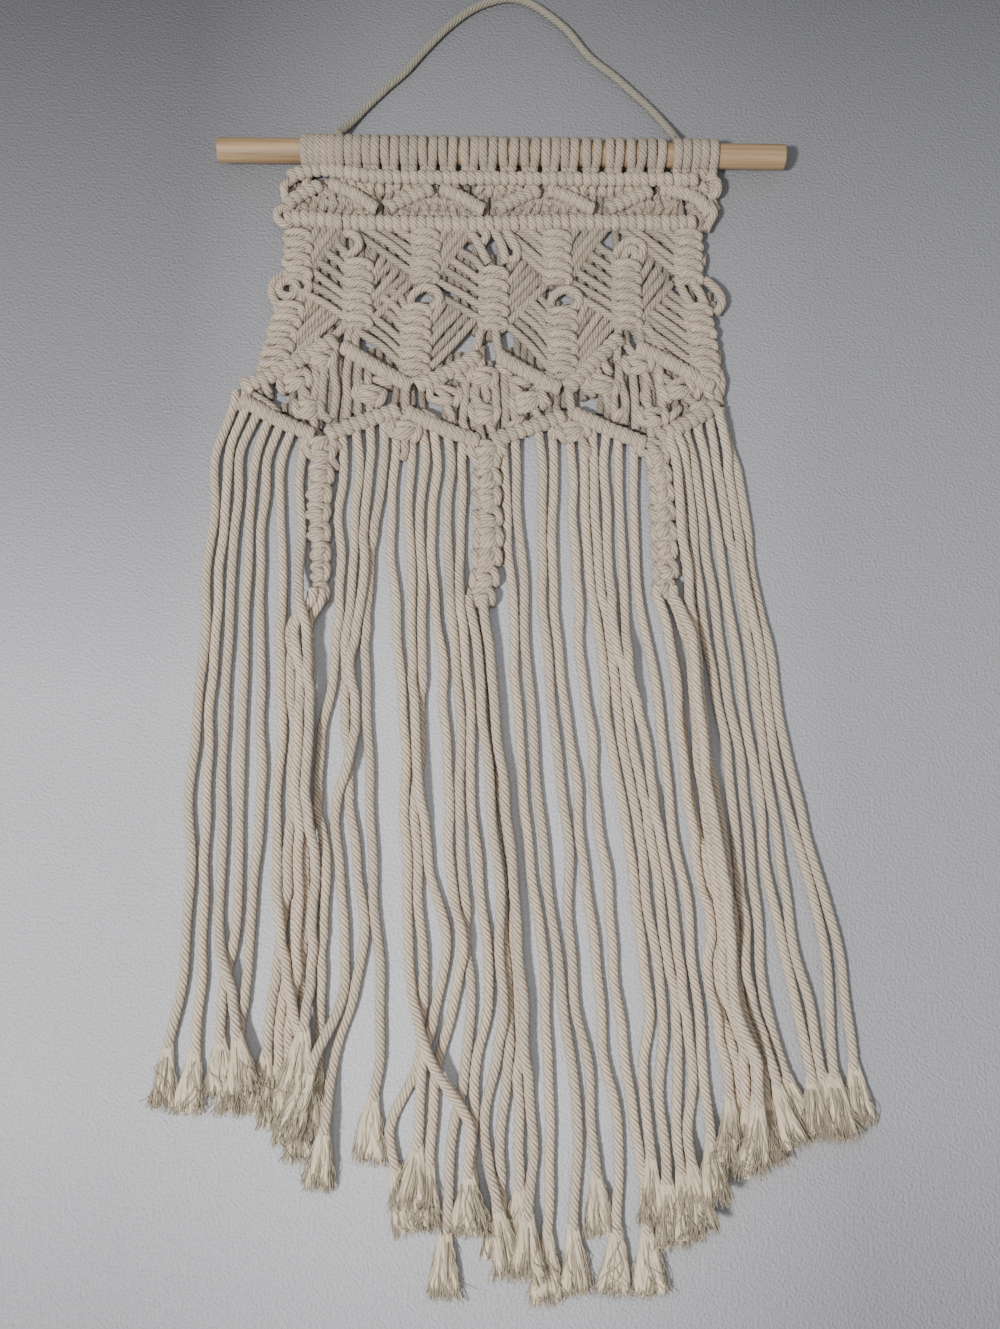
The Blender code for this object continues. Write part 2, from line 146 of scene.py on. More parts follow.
class Routes:
    """The cords of one piece: each has its line, its width, where its twist starts and its tone."""

    def __init__(self, name, seed):
        self.name = name
        self.chance = random.Random(seed)
        self.cords = []

    def lay(self, points, width=CORD_WIDTH, between=6):
        tone = self.chance.uniform(-1, 1)
        self.cords.append((smooth(points, between), width, self.chance.uniform(0, FULL_TURN), tone))

    def length(self):
        return sum(length_of(line) for line, *_ in self.cords)


print("a straight route of two places has", len(smooth([(0, 0, 0), (0, 10, 0)])), "points")

# %% [markdown]
# ## The twist of the cord
# The cord is three plies laid together, with one full turn in 15 mm, and each ply shows two yarns. A
# tree of Geometry Nodes sweeps a three-lobed outline along each route and turns it as it goes, so each
# lobe becomes one ply. The same tree sweeps a plain triangle along the fibres of a frayed end. It also
# leaves attributes on the mesh for the material: which places stand on a ply, how far along the cord
# and where around it they are, and each cord's tone.


# %% Helpers for node trees
def add(tree, kind, inputs=(), **settings):
    """A node with its settings and unlinked inputs set, and its linked inputs joined."""
    node = tree.nodes.new(kind)
    for name, value in settings.items():
        setattr(node, name, value)
    for name, value in dict(inputs).items():
        if isinstance(value, bpy.types.NodeSocket):
            tree.links.new(value, node.inputs[name])
        else:
            node.inputs[name].default_value = value
    return node


def calculate(tree, operation, *values):
    return add(tree, "ShaderNodeMath", dict(enumerate(values)), operation=operation).outputs[0]


def map_range(tree, value, from_low, from_high, to_low=0.0, to_high=1.0):
    """The value moved from one span to another, and held at both ends."""
    return add(tree, "ShaderNodeMapRange", {
        "Value": value, "From Min": from_low, "From Max": from_high, "To Min": to_low, "To Max": to_high,
    }).outputs[0]


def scaled(tree, vector, factor):
    """A vector made longer or shorter, or a colour made lighter or darker."""
    return add(tree, "ShaderNodeVectorMath", {0: vector, "Scale": factor}, operation="SCALE").outputs[0]


def socket(tree, name, kind, default=None, way="INPUT"):
    """A new input or output of a tree, and the identifier that sets it on a modifier."""
    made = tree.interface.new_socket(name=name, in_out=way, socket_type=kind)
    if default is not None:
        made.default_value = default
    return made.identifier


# %% The tree that lays cord along a route
LAY_LENGTH = 15.0
STEP = 1.05
SIDES = 9
GROOVE = 0.93  # how far out the bottom of a groove is, as a share of the radius
cord_tree = bpy.data.node_groups.new("lay the cord", "GeometryNodeTree")
CORD_INPUTS = {
    "Routes": socket(cord_tree, "Routes", "NodeSocketGeometry"),
    "Step": socket(cord_tree, "Step", "NodeSocketFloat", STEP * MM),
    "Lay length": socket(cord_tree, "Lay length", "NodeSocketFloat", LAY_LENGTH * MM),
    "Sides": socket(cord_tree, "Sides", "NodeSocketInt", SIDES),
    "Groove": socket(cord_tree, "Groove", "NodeSocketFloat", GROOVE),
    "Finish": socket(cord_tree, "Finish", "NodeSocketMaterial"),
}
socket(cord_tree, "Cord", "NodeSocketGeometry", way="OUTPUT")


def stored(tree, geometry, name, value, kind="FLOAT"):
    """The geometry with the value kept on it under a name, for the material to read."""
    kept = add(
        tree, "GeometryNodeStoreNamedAttribute", {"Geometry": geometry, "Name": name},
        data_type=kind, domain="POINT",
    )
    tree.links.new(value, kept.inputs["Value"])
    return kept.outputs[0]


def brought(tree, name):
    """A number that each route brings with it."""
    return add(tree, "GeometryNodeInputNamedAttribute", {"Name": name}, data_type="FLOAT").outputs[0]


def twisted_routes(tree, given):
    """The routes as evenly stepped curves that turn steadily from end to end."""
    lines = add(tree, "GeometryNodeMeshToCurve", {"Mesh": given["Routes"]})
    stepped = add(
        tree, "GeometryNodeResampleCurve", {"Curve": lines.outputs[0], "Length": given["Step"]},
        mode="LENGTH",
    )
    along = add(tree, "GeometryNodeSplineParameter").outputs["Length"]
    turns = calculate(tree, "DIVIDE", along, given["Lay length"])
    twist = calculate(tree, "MULTIPLY", turns, -2 * math.pi)
    tilt = calculate(tree, "ADD", twist, brought(tree, "turn"))
    tilted = add(tree, "GeometryNodeSetCurveTilt", {"Curve": stepped.outputs[0], "Tilt": tilt})
    return stored(tree, tilted.outputs[0], "along", along)


def cord_outline(tree, given):
    """The outline of a cut end: a ring in which every third point is down in a groove."""
    ring = add(
        tree, "GeometryNodeCurvePrimitiveCircle", {"Resolution": given["Sides"], "Radius": 1.0},
        mode="RADIUS",
    )
    index = add(tree, "GeometryNodeInputIndex").outputs[0]
    on_ply = calculate(tree, "GREATER_THAN", calculate(tree, "MODULO", index, 3.0), 0.5)
    reach = map_range(tree, on_ply, 0.0, 1.0, given["Groove"], 1.0)
    place = add(tree, "GeometryNodeInputPosition").outputs[0]
    lobes = scaled(tree, place, reach)
    outline = add(tree, "GeometryNodeSetPosition", {"Geometry": ring.outputs[0], "Position": lobes})
    marked = stored(tree, outline.outputs[0], "crest", on_ply)
    return stored(tree, marked, "around", place, kind="FLOAT_VECTOR")


def build_cord_tree(tree):
    given = add(tree, "NodeGroupInput").outputs
    swept = add(tree, "GeometryNodeCurveToMesh", {
        "Curve": twisted_routes(tree, given), "Profile Curve": cord_outline(tree, given),
        "Scale": brought(tree, "half"), "Fill Caps": True,
    })
    soft = add(tree, "GeometryNodeSetShadeSmooth", {"Geometry": swept.outputs[0]})
    real = add(tree, "GeometryNodeRealizeInstances", {"Geometry": soft.outputs[0]})
    finished = add(tree, "GeometryNodeSetMaterial", {
        "Geometry": real.outputs[0], "Material": given["Finish"],
    })
    add(tree, "NodeGroupOutput", {0: finished.outputs[0]})


build_cord_tree(cord_tree)
print("cord tree:", len(cord_tree.nodes), "nodes")


# %% From routes to a finished mesh
def routes_mesh(routes):
    """A mesh of edges only, one chain for each cord, that carries the cords' sizes as attributes."""
    chains = [in_metres(line) for line, *_ in routes.cords]
    starts = np.cumsum([0] + [len(chain) for chain in chains])
    edges = []
    for start, chain in zip(starts, chains):
        edges += [(k, k + 1) for k in range(start, start + len(chain) - 1)]
    mesh = bpy.data.meshes.new(routes.name + "_routes")
    mesh.from_pydata(np.vstack(chains).tolist(), edges, [])
    columns = {"half": [], "turn": [], "tone": []}
    for (line, width, turn, tone), chain in zip(routes.cords, chains):
        columns["half"].append(np.broadcast_to(np.asarray(width, float) / 2 * MM, len(chain)))
        columns["turn"].append(np.full(len(chain), turn))
        columns["tone"].append(np.full(len(chain), tone))
    for name, parts in columns.items():
        mesh.attributes.new(name, "FLOAT", "POINT").data.foreach_set("value", np.concatenate(parts))
    return mesh


def make_cords(routes, finish, step=STEP, sides=SIDES, groove=GROOVE, lay_length=LAY_LENGTH):
    """The routes swept as cord by the tree, as one plain mesh object at the origin."""
    guide = put_in_scene(routes.name + "_routes", routes_mesh(routes))
    laying = guide.modifiers.new("lay the cord", "NODES")
    laying.node_group = cord_tree
    values = {
        "Step": step * MM, "Lay length": lay_length * MM, "Sides": sides, "Groove": groove,
        "Finish": finish,
    }
    for name, value in values.items():
        laying[CORD_INPUTS[name]] = value
    bpy.context.view_layer.update()
    evaluated = guide.evaluated_get(bpy.context.evaluated_depsgraph_get())
    mesh = bpy.data.meshes.new_from_object(evaluated)
    mesh.name = routes.name
    bpy.data.objects.remove(guide, do_unlink=True)
    piece = put_in_scene(routes.name, mesh)
    metres = routes.length() * MM
    triangles = sum(len(face.vertices) - 2 for face in mesh.polygons)
    print(f"{routes.name}: {len(routes.cords)} cords, {metres:.2f} m, {triangles} triangles")
    return piece


def join_frame(piece, slot, *nodes):
    """The piece rides on the one body and replaces plain solids; its slot is not used."""
    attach(piece, "root")
    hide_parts(*nodes)


# %% [markdown]
# ## Cotton
# Undyed cotton cord is a warm off-white with no gloss. Its colour carries painted shade: it is painted
# darker in the grooves between its yarns and plies, and darker on the lowest cords, where little light
# reaches. Its fibres make fine streaks along it, and no two lengths are quite the same colour. One node
# group works out the colour with this painted shade and the small bumps, so that net, fringe and frayed
# ends match, and each finish places it with its own values.

# %% Yarns and fibres
YARNS = 6.0
FIBRES_ROUND = 4.5
FIBRES_ALONG = 180.0
SHIFT_BY_TONE = 50.0


def noise(tree, place, scale, detail, roughness=0.5):
    return add(tree, "ShaderNodeTexNoise", {
        "Vector": place, "Scale": scale, "Detail": detail, "Roughness": roughness,
    }).outputs["Fac"]


def yarn_ridges(tree, sides):
    """One along the top of each yarn, nought in the grooves between them."""
    angle = calculate(tree, "ARCTAN2", sides["Y"], sides["X"])
    wave = calculate(tree, "COSINE", calculate(tree, "MULTIPLY", angle, YARNS))
    return calculate(tree, "MULTIPLY_ADD", wave, -0.5, 0.5)


def fibre_streaks(tree, sides, along, tone):
    """Noise drawn out along the cord, at another place in the noise for each cord."""
    shift = calculate(tree, "MULTIPLY", tone, SHIFT_BY_TONE)
    place = add(tree, "ShaderNodeCombineXYZ", {
        "X": calculate(tree, "MULTIPLY", sides["X"], FIBRES_ROUND),
        "Y": calculate(tree, "MULTIPLY", sides["Y"], FIBRES_ROUND),
        "Z": calculate(tree, "ADD", calculate(tree, "MULTIPLY", along, FIBRES_ALONG), shift),
    }).outputs[0]
    return noise(tree, place, scale=2.4, detail=3.0)


def mix_colours(tree, share, first, second):
    """The first colour where the share is nought, the second where it is one."""
    mixed = add(tree, "ShaderNodeMix", {0: share}, data_type="RGBA")
    # The colour sockets share their names with those for numbers, so they are found by their place.
    tree.links.new(first, mixed.inputs[6])
    tree.links.new(second, mixed.inputs[7])
    return mixed.outputs[2]


# %% The cotton node group
BUMP_DISTANCE = 0.001


def build_cotton_group():
    group = bpy.data.node_groups.new("cotton fibres", "ShaderNodeTree")
    for name in ("Light", "Groove", "Tint"):
        socket(group, name, "NodeSocketColor")
    for name in ("Fibre depth", "Low", "High", "Shade"):
        socket(group, name, "NodeSocketFloat")
    socket(group, "Colour", "NodeSocketColor", way="OUTPUT")
    socket(group, "Normal", "NodeSocketVector", way="OUTPUT")
    given = add(group, "NodeGroupInput").outputs

    crest = add(group, "ShaderNodeAttribute", attribute_name="crest").outputs["Fac"]
    tone = add(group, "ShaderNodeAttribute", attribute_name="tone").outputs["Fac"]
    along = add(group, "ShaderNodeAttribute", attribute_name="along").outputs["Fac"]
    around = add(group, "ShaderNodeAttribute", attribute_name="around").outputs["Vector"]
    sides = add(group, "ShaderNodeSeparateXYZ", {0: around}).outputs
    place = add(group, "ShaderNodeTexCoord").outputs["Object"]
    height = add(group, "ShaderNodeSeparateXYZ", {0: place}).outputs["Z"]
    yarns = yarn_ridges(group, sides)
    fibres = fibre_streaks(group, sides, along, tone)
    patches = noise(group, place, scale=120.0, detail=2.0)

    patchy = calculate(group, "MULTIPLY_ADD", patches, 1.6, -0.55)
    warmth = calculate(group, "MULTIPLY_ADD", tone, 0.25, patchy)
    tinted = mix_colours(group, warmth, given["Light"], given["Tint"])
    # Painted shade: the colour is mixed towards the darker groove colour in the grooves between plies
    # and yarns.
    raised = calculate(group, "MULTIPLY_ADD", crest, 0.2, calculate(group, "MULTIPLY", yarns, 0.8))
    shaded_in_grooves = mix_colours(group, raised, given["Groove"], tinted)
    streaks = map_range(group, fibres, 0.25, 0.75, 0.70, 1.2)
    # Painted shade: the lower a place lies, the darker it is painted, down to the shade factor at the
    # low height.
    painted_low_shade = map_range(group, height, given["Low"], given["High"], given["Shade"], 1.0)
    paler = calculate(group, "MULTIPLY", streaks, calculate(group, "MULTIPLY_ADD", tone, 0.07, 1.0))
    colour = scaled(group, shaded_in_grooves, calculate(group, "MULTIPLY", paler, painted_low_shade))
    relief = calculate(group, "MULTIPLY_ADD", yarns, 0.7, calculate(group, "MULTIPLY", fibres, 0.9))
    bumps = add(group, "ShaderNodeBump", {
        "Strength": given["Fibre depth"], "Distance": BUMP_DISTANCE, "Height": relief,
    })
    add(group, "NodeGroupOutput", {"Colour": colour, "Normal": bumps.outputs[0]})
    return group


cotton_fibres = build_cotton_group()
print("cotton group:", len(cotton_fibres.nodes), "nodes")


# %% Cotton finishes
def new_finish(name):
    """A new material, its node tree, and the shader in it that takes colour and gloss."""
    finish = bpy.data.materials.new(name)
    finish.use_nodes = True
    return finish, finish.node_tree, finish.node_tree.nodes["Principled BSDF"]


LOW = 0.5


def cotton(name, light, groove, tint, fibre_depth=0.9, high=4.0, shade=0.6):
    """A cotton finish, painted darker with the groove colour in its grooves and multiplied by shade
    where it is LOW and by one from high up, both as painted shade.
    """
    finish, tree, surface = new_finish(name)
    fibres = add(tree, "ShaderNodeGroup", node_tree=cotton_fibres)
    values = {
        "Light": (*light, 1.0), "Groove": (*groove, 1.0), "Tint": (*tint, 1.0),
        "Fibre depth": fibre_depth, "Low": LOW * MM, "High": high * MM, "Shade": shade,
    }
    for label, value in values.items():
        fibres.inputs[label].default_value = value
    tree.links.new(fibres.outputs["Colour"], surface.inputs["Base Color"])
    tree.links.new(fibres.outputs["Normal"], surface.inputs["Normal"])
    surface.inputs["Roughness"].default_value = 0.92
    surface.inputs["Specular IOR Level"].default_value = 0.2
    surface.inputs["Sheen Weight"].default_value = 0.15
    surface.inputs["Sheen Roughness"].default_value = 0.5
    return finish


# Painted light and shade: net, heading, hanging cord and fringe are one cotton, and each copy is painted
# lighter or darker for the light that falls on its part of the piece. The hanging cord and the heading
# at the top are darkest, and the fringe is lightest.
knotted_cotton_painted_shade = cotton(
    "knotted_cotton_painted_shade", light=(0.67, 0.545, 0.42), groove=(0.38, 0.305, 0.23), tint=(0.71, 0.53, 0.395),
    high=7.6, shade=0.3,
)
heading_cotton_painted_shade = cotton(
    "heading_cotton_painted_shade", light=(0.575, 0.465, 0.355), groove=(0.30, 0.24, 0.18), tint=(0.61, 0.45, 0.335),
)
fringe_cotton_painted_light = cotton(
    "fringe_cotton_painted_light", light=(0.855, 0.705, 0.542), groove=(0.36, 0.294, 0.216), tint=(0.90, 0.675, 0.50),
)
hanging_cotton_painted_shade = cotton(
    "hanging_cotton_painted_shade", light=(0.37, 0.33, 0.255), groove=(0.31, 0.275, 0.21), tint=(0.38, 0.325, 0.24),
)
frayed_cotton = cotton(
    "frayed_cotton", light=(0.735, 0.62, 0.448), groove=(0.605, 0.50, 0.352),
    tint=(0.745, 0.585, 0.412), fibre_depth=0.7, shade=1.0,
)
print("cotton finishes:", [finish.name for finish in bpy.data.materials if "cotton" in finish.name])

# %% [markdown]
# ## The hanging cord
# One length of the same cord goes up from the heading in a flat peak. On the wall it would hang on a
# nail; here it lies on the surface, slack. It is the one free cord, so its length and route are fixed
# before its look, and the twisted mesh follows exactly that route.

# %% Lay the hanging cord
SLACK_WIDTH = 4.4  # with no pull on it and no neighbour, this one looks a little thinner
HANGING_CORD = [
    (-89.0, -12.6, 8.6), (-87.0, -16.5, 6.2), (-82.0, -24.5, 3.6), (-74.5, -34.5, 2.6),
    (-64.0, -46.5, 2.6), (-53.5, -57.5, 2.6), (-43.5, -71.0, 2.6), (-31.0, -86.0, 2.6),
    (-18.0, -97.5, 2.6), (-6.0, -103.5, 2.6), (4.0, -105.2, 2.6), (13.0, -103.0, 2.6),
    (22.5, -97.0, 2.6), (36.0, -84.5, 2.6), (48.0, -68.0, 2.6), (63.0, -54.5, 2.6),
    (79.0, -38.0, 2.6), (87.5, -27.0, 3.6), (93.0, -17.0, 6.2), (94.5, -12.3, 8.6),
]
hanging_routes = Routes("hanging_loop", seed=3)
hanging_routes.lay(HANGING_CORD, between=8, width=SLACK_WIDTH)
hanging_loop = make_cords(hanging_routes, hanging_cotton_painted_shade, step=0.8, groove=0.95)
join_frame(hanging_loop, "loop_cord", "hanging_cord")

# %% [markdown]
# ## The fringe
# Below the net the cords hang loose. Each row of the table is one cord: where it leaves the net, where
# it lies at set drops, and where its frayed tip ends. A cord that lies on another one has to climb over
# it, so the cords are put down one by one, lowest first, and each rises where something is under it.

# %% The fringe tables
FRAY_LENGTH = 27.0
# The net's lower edge, as places (x, drop).
HEM = [(-137, 140), (-91, 166), (-49, 149), (-6, 168), (36, 152), (80, 166), (117, 147)]
FRINGE_DROPS = (170, 200, 240, 280, 320, 350, 380, 410, 440, 470, 500)
# Name, x where it leaves the net, x at each of the drops above, then x and drop of its tip.
FRINGE = [
    ("a1", -136, -144, -144, -145, -144, -146, -146, -144, -143, -145, -150, -151, -151, 485),
    ("a2", -130, -138, -138, -139, -139, -139, -138, -137, -136, -135, -136, -137, -137, 487),
    ("a3", -124, -132, -132, -133, -132, -132, -130, -129, -128, -120, -112, -110, -110, 480),
    ("a4", -118, -124, -125, -125, -124, -123, -122, -121, -120, -125, -124, -123, -123, 482),
    ("a5", -112, -117, -119, -118, -116, -113, -112, -113, -113, -115, -116, -116, -116, 487),
    ("a6", -106, -110, -110, -107, -105, -103, -104, -102, -98, -92, -86, -82, -82, 484),
    ("a7", -99, -100, -100, -97, -92, -89, -89, -84, -84, -84, -86, -87, -87, 477),
    ("b1", -80, -79, -80, -78, -79, -84, -85, -79, -80, -79, -78, -78, -78, 495),
    ("b2", -73, -71, -72, -72, -74, -71, -69, -64, -60, -64, -72, -75, -77, 520),
    ("b3", -66, -65, -67, -66, -71, -68, -75, -73, -69, -69, -82, -90, -91, 495),
    ("b4", -59, -58, -61, -64, -64, -61, -59, -57, -54, -51, -51, -55, -56, 507),
    ("b5", -53, -52, -54, -51, -47, -43, -42, -40, -39, -36, -25, -8, -8, 538),
    ("b6", -46, -44, -45, -42, -41, -37, -35, -30, -21, -25, -30, -37, -35, 528),
    ("b7", -40, -37, -39, -37, -36, -36, -37, -36, -33, -31, -33, -45, -36, 537),
    ("b8", -33, -31, -33, -31, -26, -23, -21, -20, -14, -16, -24, -26, -28, 535),
    ("b9", -26, -24, -25, -23, -19, -16, -16, -14, -12, -9, -11, -16, -20, 563),
    ("b10", -18, -17, -18, -18, -14, -11, -10, -7, -2, -1, -6, -7, -8, 538),
    ("c1", 3, 4, 5, 8, 10, 13, 15, 19, 23, 26, 27, 28, 27, 565),
    ("c2", 9, 11, 11, 14, 16, 20, 22, 26, 30, 33, 39, 40, 39, 561),
    ("c3", 21, 23, 23, 24, 26, 31, 34, 37, 37, 39, 46, 47, 51, 538),
    ("c4", 28, 29, 28, 29, 32, 38, 41, 44, 48, 51, 54, 59, 58, 562),
    ("c5", 36, 38, 39, 41, 43, 48, 50, 54, 57, 59, 63, 68, 74, 562),
    ("c6", 43, 45, 45, 48, 54, 57, 63, 67, 70, 74, 71, 73, 74, 531),
    ("c7", 49, 49, 50, 53, 59, 63, 69, 72, 76, 80, 79, 79, 83, 541),
    ("c8", 56, 55, 56, 57, 62, 68, 74, 78, 82, 86, 87, 86, 90, 537),
    ("c9", 62, 62, 63, 64, 66, 74, 78, 83, 87, 90, 93, 91, 95, 533),
    ("c10", 70, 70, 70, 71, 78, 83, 85, 90, 94, 96, 99, 100, 101, 522),
    ("d1", 88.5, 90.5, 93, 96, 98, 101, 104, 108, 111, 114, 121, 123, 123, 505),
    ("d2", 90, 91.5, 94.5, 97, 100, 103, 108, 112, 115, 117, 126, 127, 127, 505),
    ("d3", 92, 95, 99, 101.5, 107, 113, 116, 117, 119, 121, 130, 138, 138, 500),
    ("d4", 97, 100.5, 104, 108.5, 113, 119, 122, 124, 126, 128, 136, 144, 144, 496),
    ("d5", 103, 107, 110.3, 115.3, 120.5, 125, 129, 131, 136, 143, 148, 151, 151, 496),
    ("d6", 110, 113, 116.5, 123, 128, 131, 135, 138, 142, 148, 153, 157, 157, 494),
    ("d7", 113.5, 118, 121.6, 125, 133, 136, 142, 150, 156, 158, 158, 159, 159, 495),
    ("d8", 115.5, 121, 125.5, 130, 136.5, 142, 148, 155, 162, 166, 164, 170, 170, 490),
]
# The same for the cords that the sennits let go, each of which starts at its own sennit's end.
TAIL_DROPS = (260, 280, 320, 350, 380, 410, 440, 470, 500)
TAIL_START = {"l": 249.5, "m": 251, "r": 245}
TAILS = [
    ("l1", -91, -100, -100, -97, -96, -97, -98, -101, -102, -105, -105, 488),
    ("l2", -90, -97, -96, -94, -93, -92, -90, -92, -92, -90, -90, 499),
    ("l3", -88, -95, -98, -95, -94, -94, -93, -96, -97, -98, -98, 494),
    ("l4", -87, -92, -92, -92, -91, -89, -87, -88, -89, -86, -86, 508),
    ("m1", -14, -11, -8, -4, -1, 3, 4, 6, 3, -2, 11, 553),
    ("m2", -6, -5, -2, 2, 6, 10, 12, 15, 17, 20, 17, 556),
    ("m3", -13, -10, -7, -3, 0, 4, 6, 9, 8, 6, 5, 548),
    ("m4", -7, -6, -3, 1, 5, 9, 11, 13, 14, 14, 14, 545),
    ("r1", 80, 85, 88, 91, 94, 99, 103, 103, 110, 111, 110, 505),
    ("r2", 88, 95, 96.5, 100.5, 104, 108, 111, 112, 122, 121, 120, 507),
    ("r3", 82, 85.5, 88.5, 92.5, 96, 103, 106, 107, 114, 115, 114, 509),
    ("r4", 87, 94, 97, 99.5, 102, 105, 108, 110, 118, 118, 117, 511),
]
print(len(FRINGE), "fringe cords and", len(TAILS), "cords from the sennits")

# %% Which cord lies under which
PUT_DOWN_ORDER = """
l3 l4 m3 m4 r3 r4 l1 l2 m1 b1 a4 a5 a1 a2 b2 b4 b7 b10 b9 b8 b6 c1 m2 c2 c3 c4 c5 c6 c7 c8 c9 c10
d2 d1 d4 d6 d8 d5 d3 d7 r1 r2 a3 a6 a7 b3 b5
""".split()
GRID_STEP = 2.0
GRID = np.arange(136.0, 572.0, GRID_STEP)
print(len(PUT_DOWN_ORDER), "cords in the order they are put down")

# %% [markdown]
# A table row gives one place for each drop. Between them the cord follows a smooth curve, and a small
# wander with a fixed seed keeps it from looking drawn with a ruler.

# %% Where each cord lies
PAST_THE_TABLE = 5.0  # the last fibres reach this much further than the tip in the table
CLEAR_OF_HEM = 8
CLEAR_OF_FRAY = 6
WANDER_GROWS_OVER = 25


def hem_drop(x):
    """Drop of the net's lower edge at x."""
    return float(np.interp(x, [place[0] for place in HEM], [place[1] for place in HEM]))


def curve_over(known_drops, known_x, drops):
    """x at each drop, on a smooth curve through the known places."""
    slopes = np.gradient(known_x, known_drops)
    k = np.clip(np.searchsorted(known_drops, drops) - 1, 0, len(known_drops) - 2)
    gap = known_drops[k + 1] - known_drops[k]
    t = np.clip((drops - known_drops[k]) / gap, 0, 1)
    return (
        known_x[k] * (2 * t**3 - 3 * t**2 + 1) + slopes[k] * gap * (t**3 - 2 * t**2 + t)
        + known_x[k + 1] * (3 * t**2 - 2 * t**3) + slopes[k + 1] * gap * (t**3 - t**2)
    )


def wander(chance):
    """A small sideways drift at each drop, made of three long waves."""
    return sum(
        chance.uniform(0.15, 0.4) * np.sin(GRID / chance.uniform(5, 13) + chance.uniform(0, 6.3))
        for _ in range(3)
    )


def cord_places(name, start, drops, columns, tip, chance):
    """One loose cord on the grid of drops: x, and the drops where it starts, frays and ends."""
    start_x, start_drop = start
    tip_x, tip_drop = tip
    end = tip_drop + PAST_THE_TABLE
    fray = end - FRAY_LENGTH
    known = [(start_drop, start_x)]
    for x, drop in zip(columns, drops):
        if start_drop + CLEAR_OF_HEM < drop < fray - CLEAR_OF_FRAY:
            known.append((drop, x))
    last_drop, last_x = known[-1]
    share = (fray - last_drop) / (end - last_drop)
    known += [(fray, last_x + (tip_x - last_x) * share), (end, tip_x)]
    known_drops, known_x = (np.array(column, float) for column in zip(*known))
    grown = np.clip((GRID - start_drop) / WANDER_GROWS_OVER, 0, 1)
    x = curve_over(known_drops, known_x, GRID) + wander(chance) * grown
    return {"name": name, "x": x, "start": start_drop, "fray": fray, "end": end}


chance = random.Random(11)
loose = {}
for name, start_x, *columns, tip_x, tip_drop in FRINGE:
    start = (start_x, hem_drop(start_x))
    loose[name] = cord_places(name, start, FRINGE_DROPS, columns, (tip_x, tip_drop), chance)
for name, start_x, *columns, tip_x, tip_drop in TAILS:
    start = (start_x, TAIL_START[name[0]])
    loose[name] = cord_places(name, start, TAIL_DROPS, columns, (tip_x, tip_drop), chance)
print("longest cord ends at", max(cord["end"] for cord in loose.values()), "mm")

# %% [markdown]
# Two cords that nearly touch push each other aside, as soft cords do. Two that truly cross are left to
# cross, and the one put down later climbs over the other on a gentle slope.

# %% Push neighbours apart
TOUCHING = 4.95
TRULY_CROSSING = 0.8  # nearer than this share of touching, two cords are left to cross
ROUNDS = 12


def smoothed(values, reach=3):
    kernel = np.hanning(2 * reach + 3)[1:-1]
    padded = np.pad(values, reach, mode="edge")
    return np.convolve(padded, kernel / kernel.sum(), mode="valid")


def present(cord):
    return (GRID >= cord["start"]) & (GRID <= cord["end"])


def push_apart(cords):
    """Moves cords that lie too close a little aside, half each, again and again."""
    for _ in range(ROUNDS):
        moves = {cord["name"]: np.zeros(len(GRID)) for cord in cords}
        for i, first in enumerate(cords):
            for second in cords[i + 1:]:
                both = present(first) & present(second)
                gap = second["x"] - first["x"]
                near = both & (abs(gap) < TOUCHING) & (abs(gap) > TRULY_CROSSING * TOUCHING)
                shift = np.where(near, (TOUCHING - abs(gap)) / 4 * np.sign(gap), 0.0)
                moves[first["name"]] -= shift
                moves[second["name"]] += shift
        for cord in cords:
            cord["x"] = cord["x"] + smoothed(moves[cord["name"]])


ordered = [loose[name] for name in PUT_DOWN_ORDER]
push_apart(ordered)
print("pushed apart:", len(ordered), "cords")

# %% Stack the crossings
TUFT_HALF_WIDTH = 6.0
TUFT_HALF_HEIGHT = 1.7
HIGHER_AT_NET = 1.8
NET_ENDS_OVER = 14
STEEPEST = 0.32
LOOK_AROUND = 40


def half_sizes(cord):
    """Half width and half height of a cord at each drop, wider and flatter where it frays."""
    fray = np.clip((GRID - cord["fray"]) / (cord["end"] - cord["fray"]), 0, 1)
    width = TOUCHING / 2 + (TUFT_HALF_WIDTH - TOUCHING / 2) * fray
    height = TOUCHING / 2 + (TUFT_HALF_HEIGHT - TOUCHING / 2) * fray
    return width, height


def eased(heights):
    """The heights with a ramp before and after each rise, no steeper than a laid cord climbs."""
    ramped = heights.copy()
    for offset in range(1, LOOK_AROUND):
        fall = STEEPEST * GRID_STEP * offset
        ramped[offset:] = np.maximum(ramped[offset:], heights[:-offset] - fall)
        ramped[:-offset] = np.maximum(ramped[:-offset], heights[offset:] - fall)
    return ramped


def stack(cords):
    """Sets each cord's height above the surface, in the order in which they are put down."""
    for k, cord in enumerate(cords):
        width, height = half_sizes(cord)
        near_net = np.clip(1 - (GRID - cord["start"]) / NET_ENDS_OVER, 0, 1)
        needed = height + HIGHER_AT_NET * near_net**1.5
        for below in cords[:k]:
            both = present(cord) & present(below)
            below_width, below_height = half_sizes(below)
            apart = abs(cord["x"] - below["x"]) / (width + below_width)
            rise = (height + below_height) * np.sqrt(np.clip(1 - apart**2, 0, 1))
            needed = np.maximum(needed, np.where(both & (apart < 1), below["z"] + rise, 0.0))
        cord["z"] = np.maximum(smoothed(eased(needed), 4), height)


stack(ordered)
highest = max(cord["z"][present(cord)].max() for cord in ordered)
print("highest cord of the fringe:", round(highest, 1), "mm")

# %% Sweep the fringe
UNDER_THE_NET = np.array([0.0, -5.0, -0.5])
# Which cords go into which piece, by the first letter of their names.
FRINGE_PIECES = {
    "fringe_left": "al",
    "fringe_middle_left": "bm",
    "fringe_middle_right": "c",
    "fringe_right": "dr",
}


def cord_line(cord, last):
    keep = (GRID >= cord["start"]) & (GRID <= last)
    return np.stack([cord["x"][keep], GRID[keep], cord["z"][keep]], axis=1)


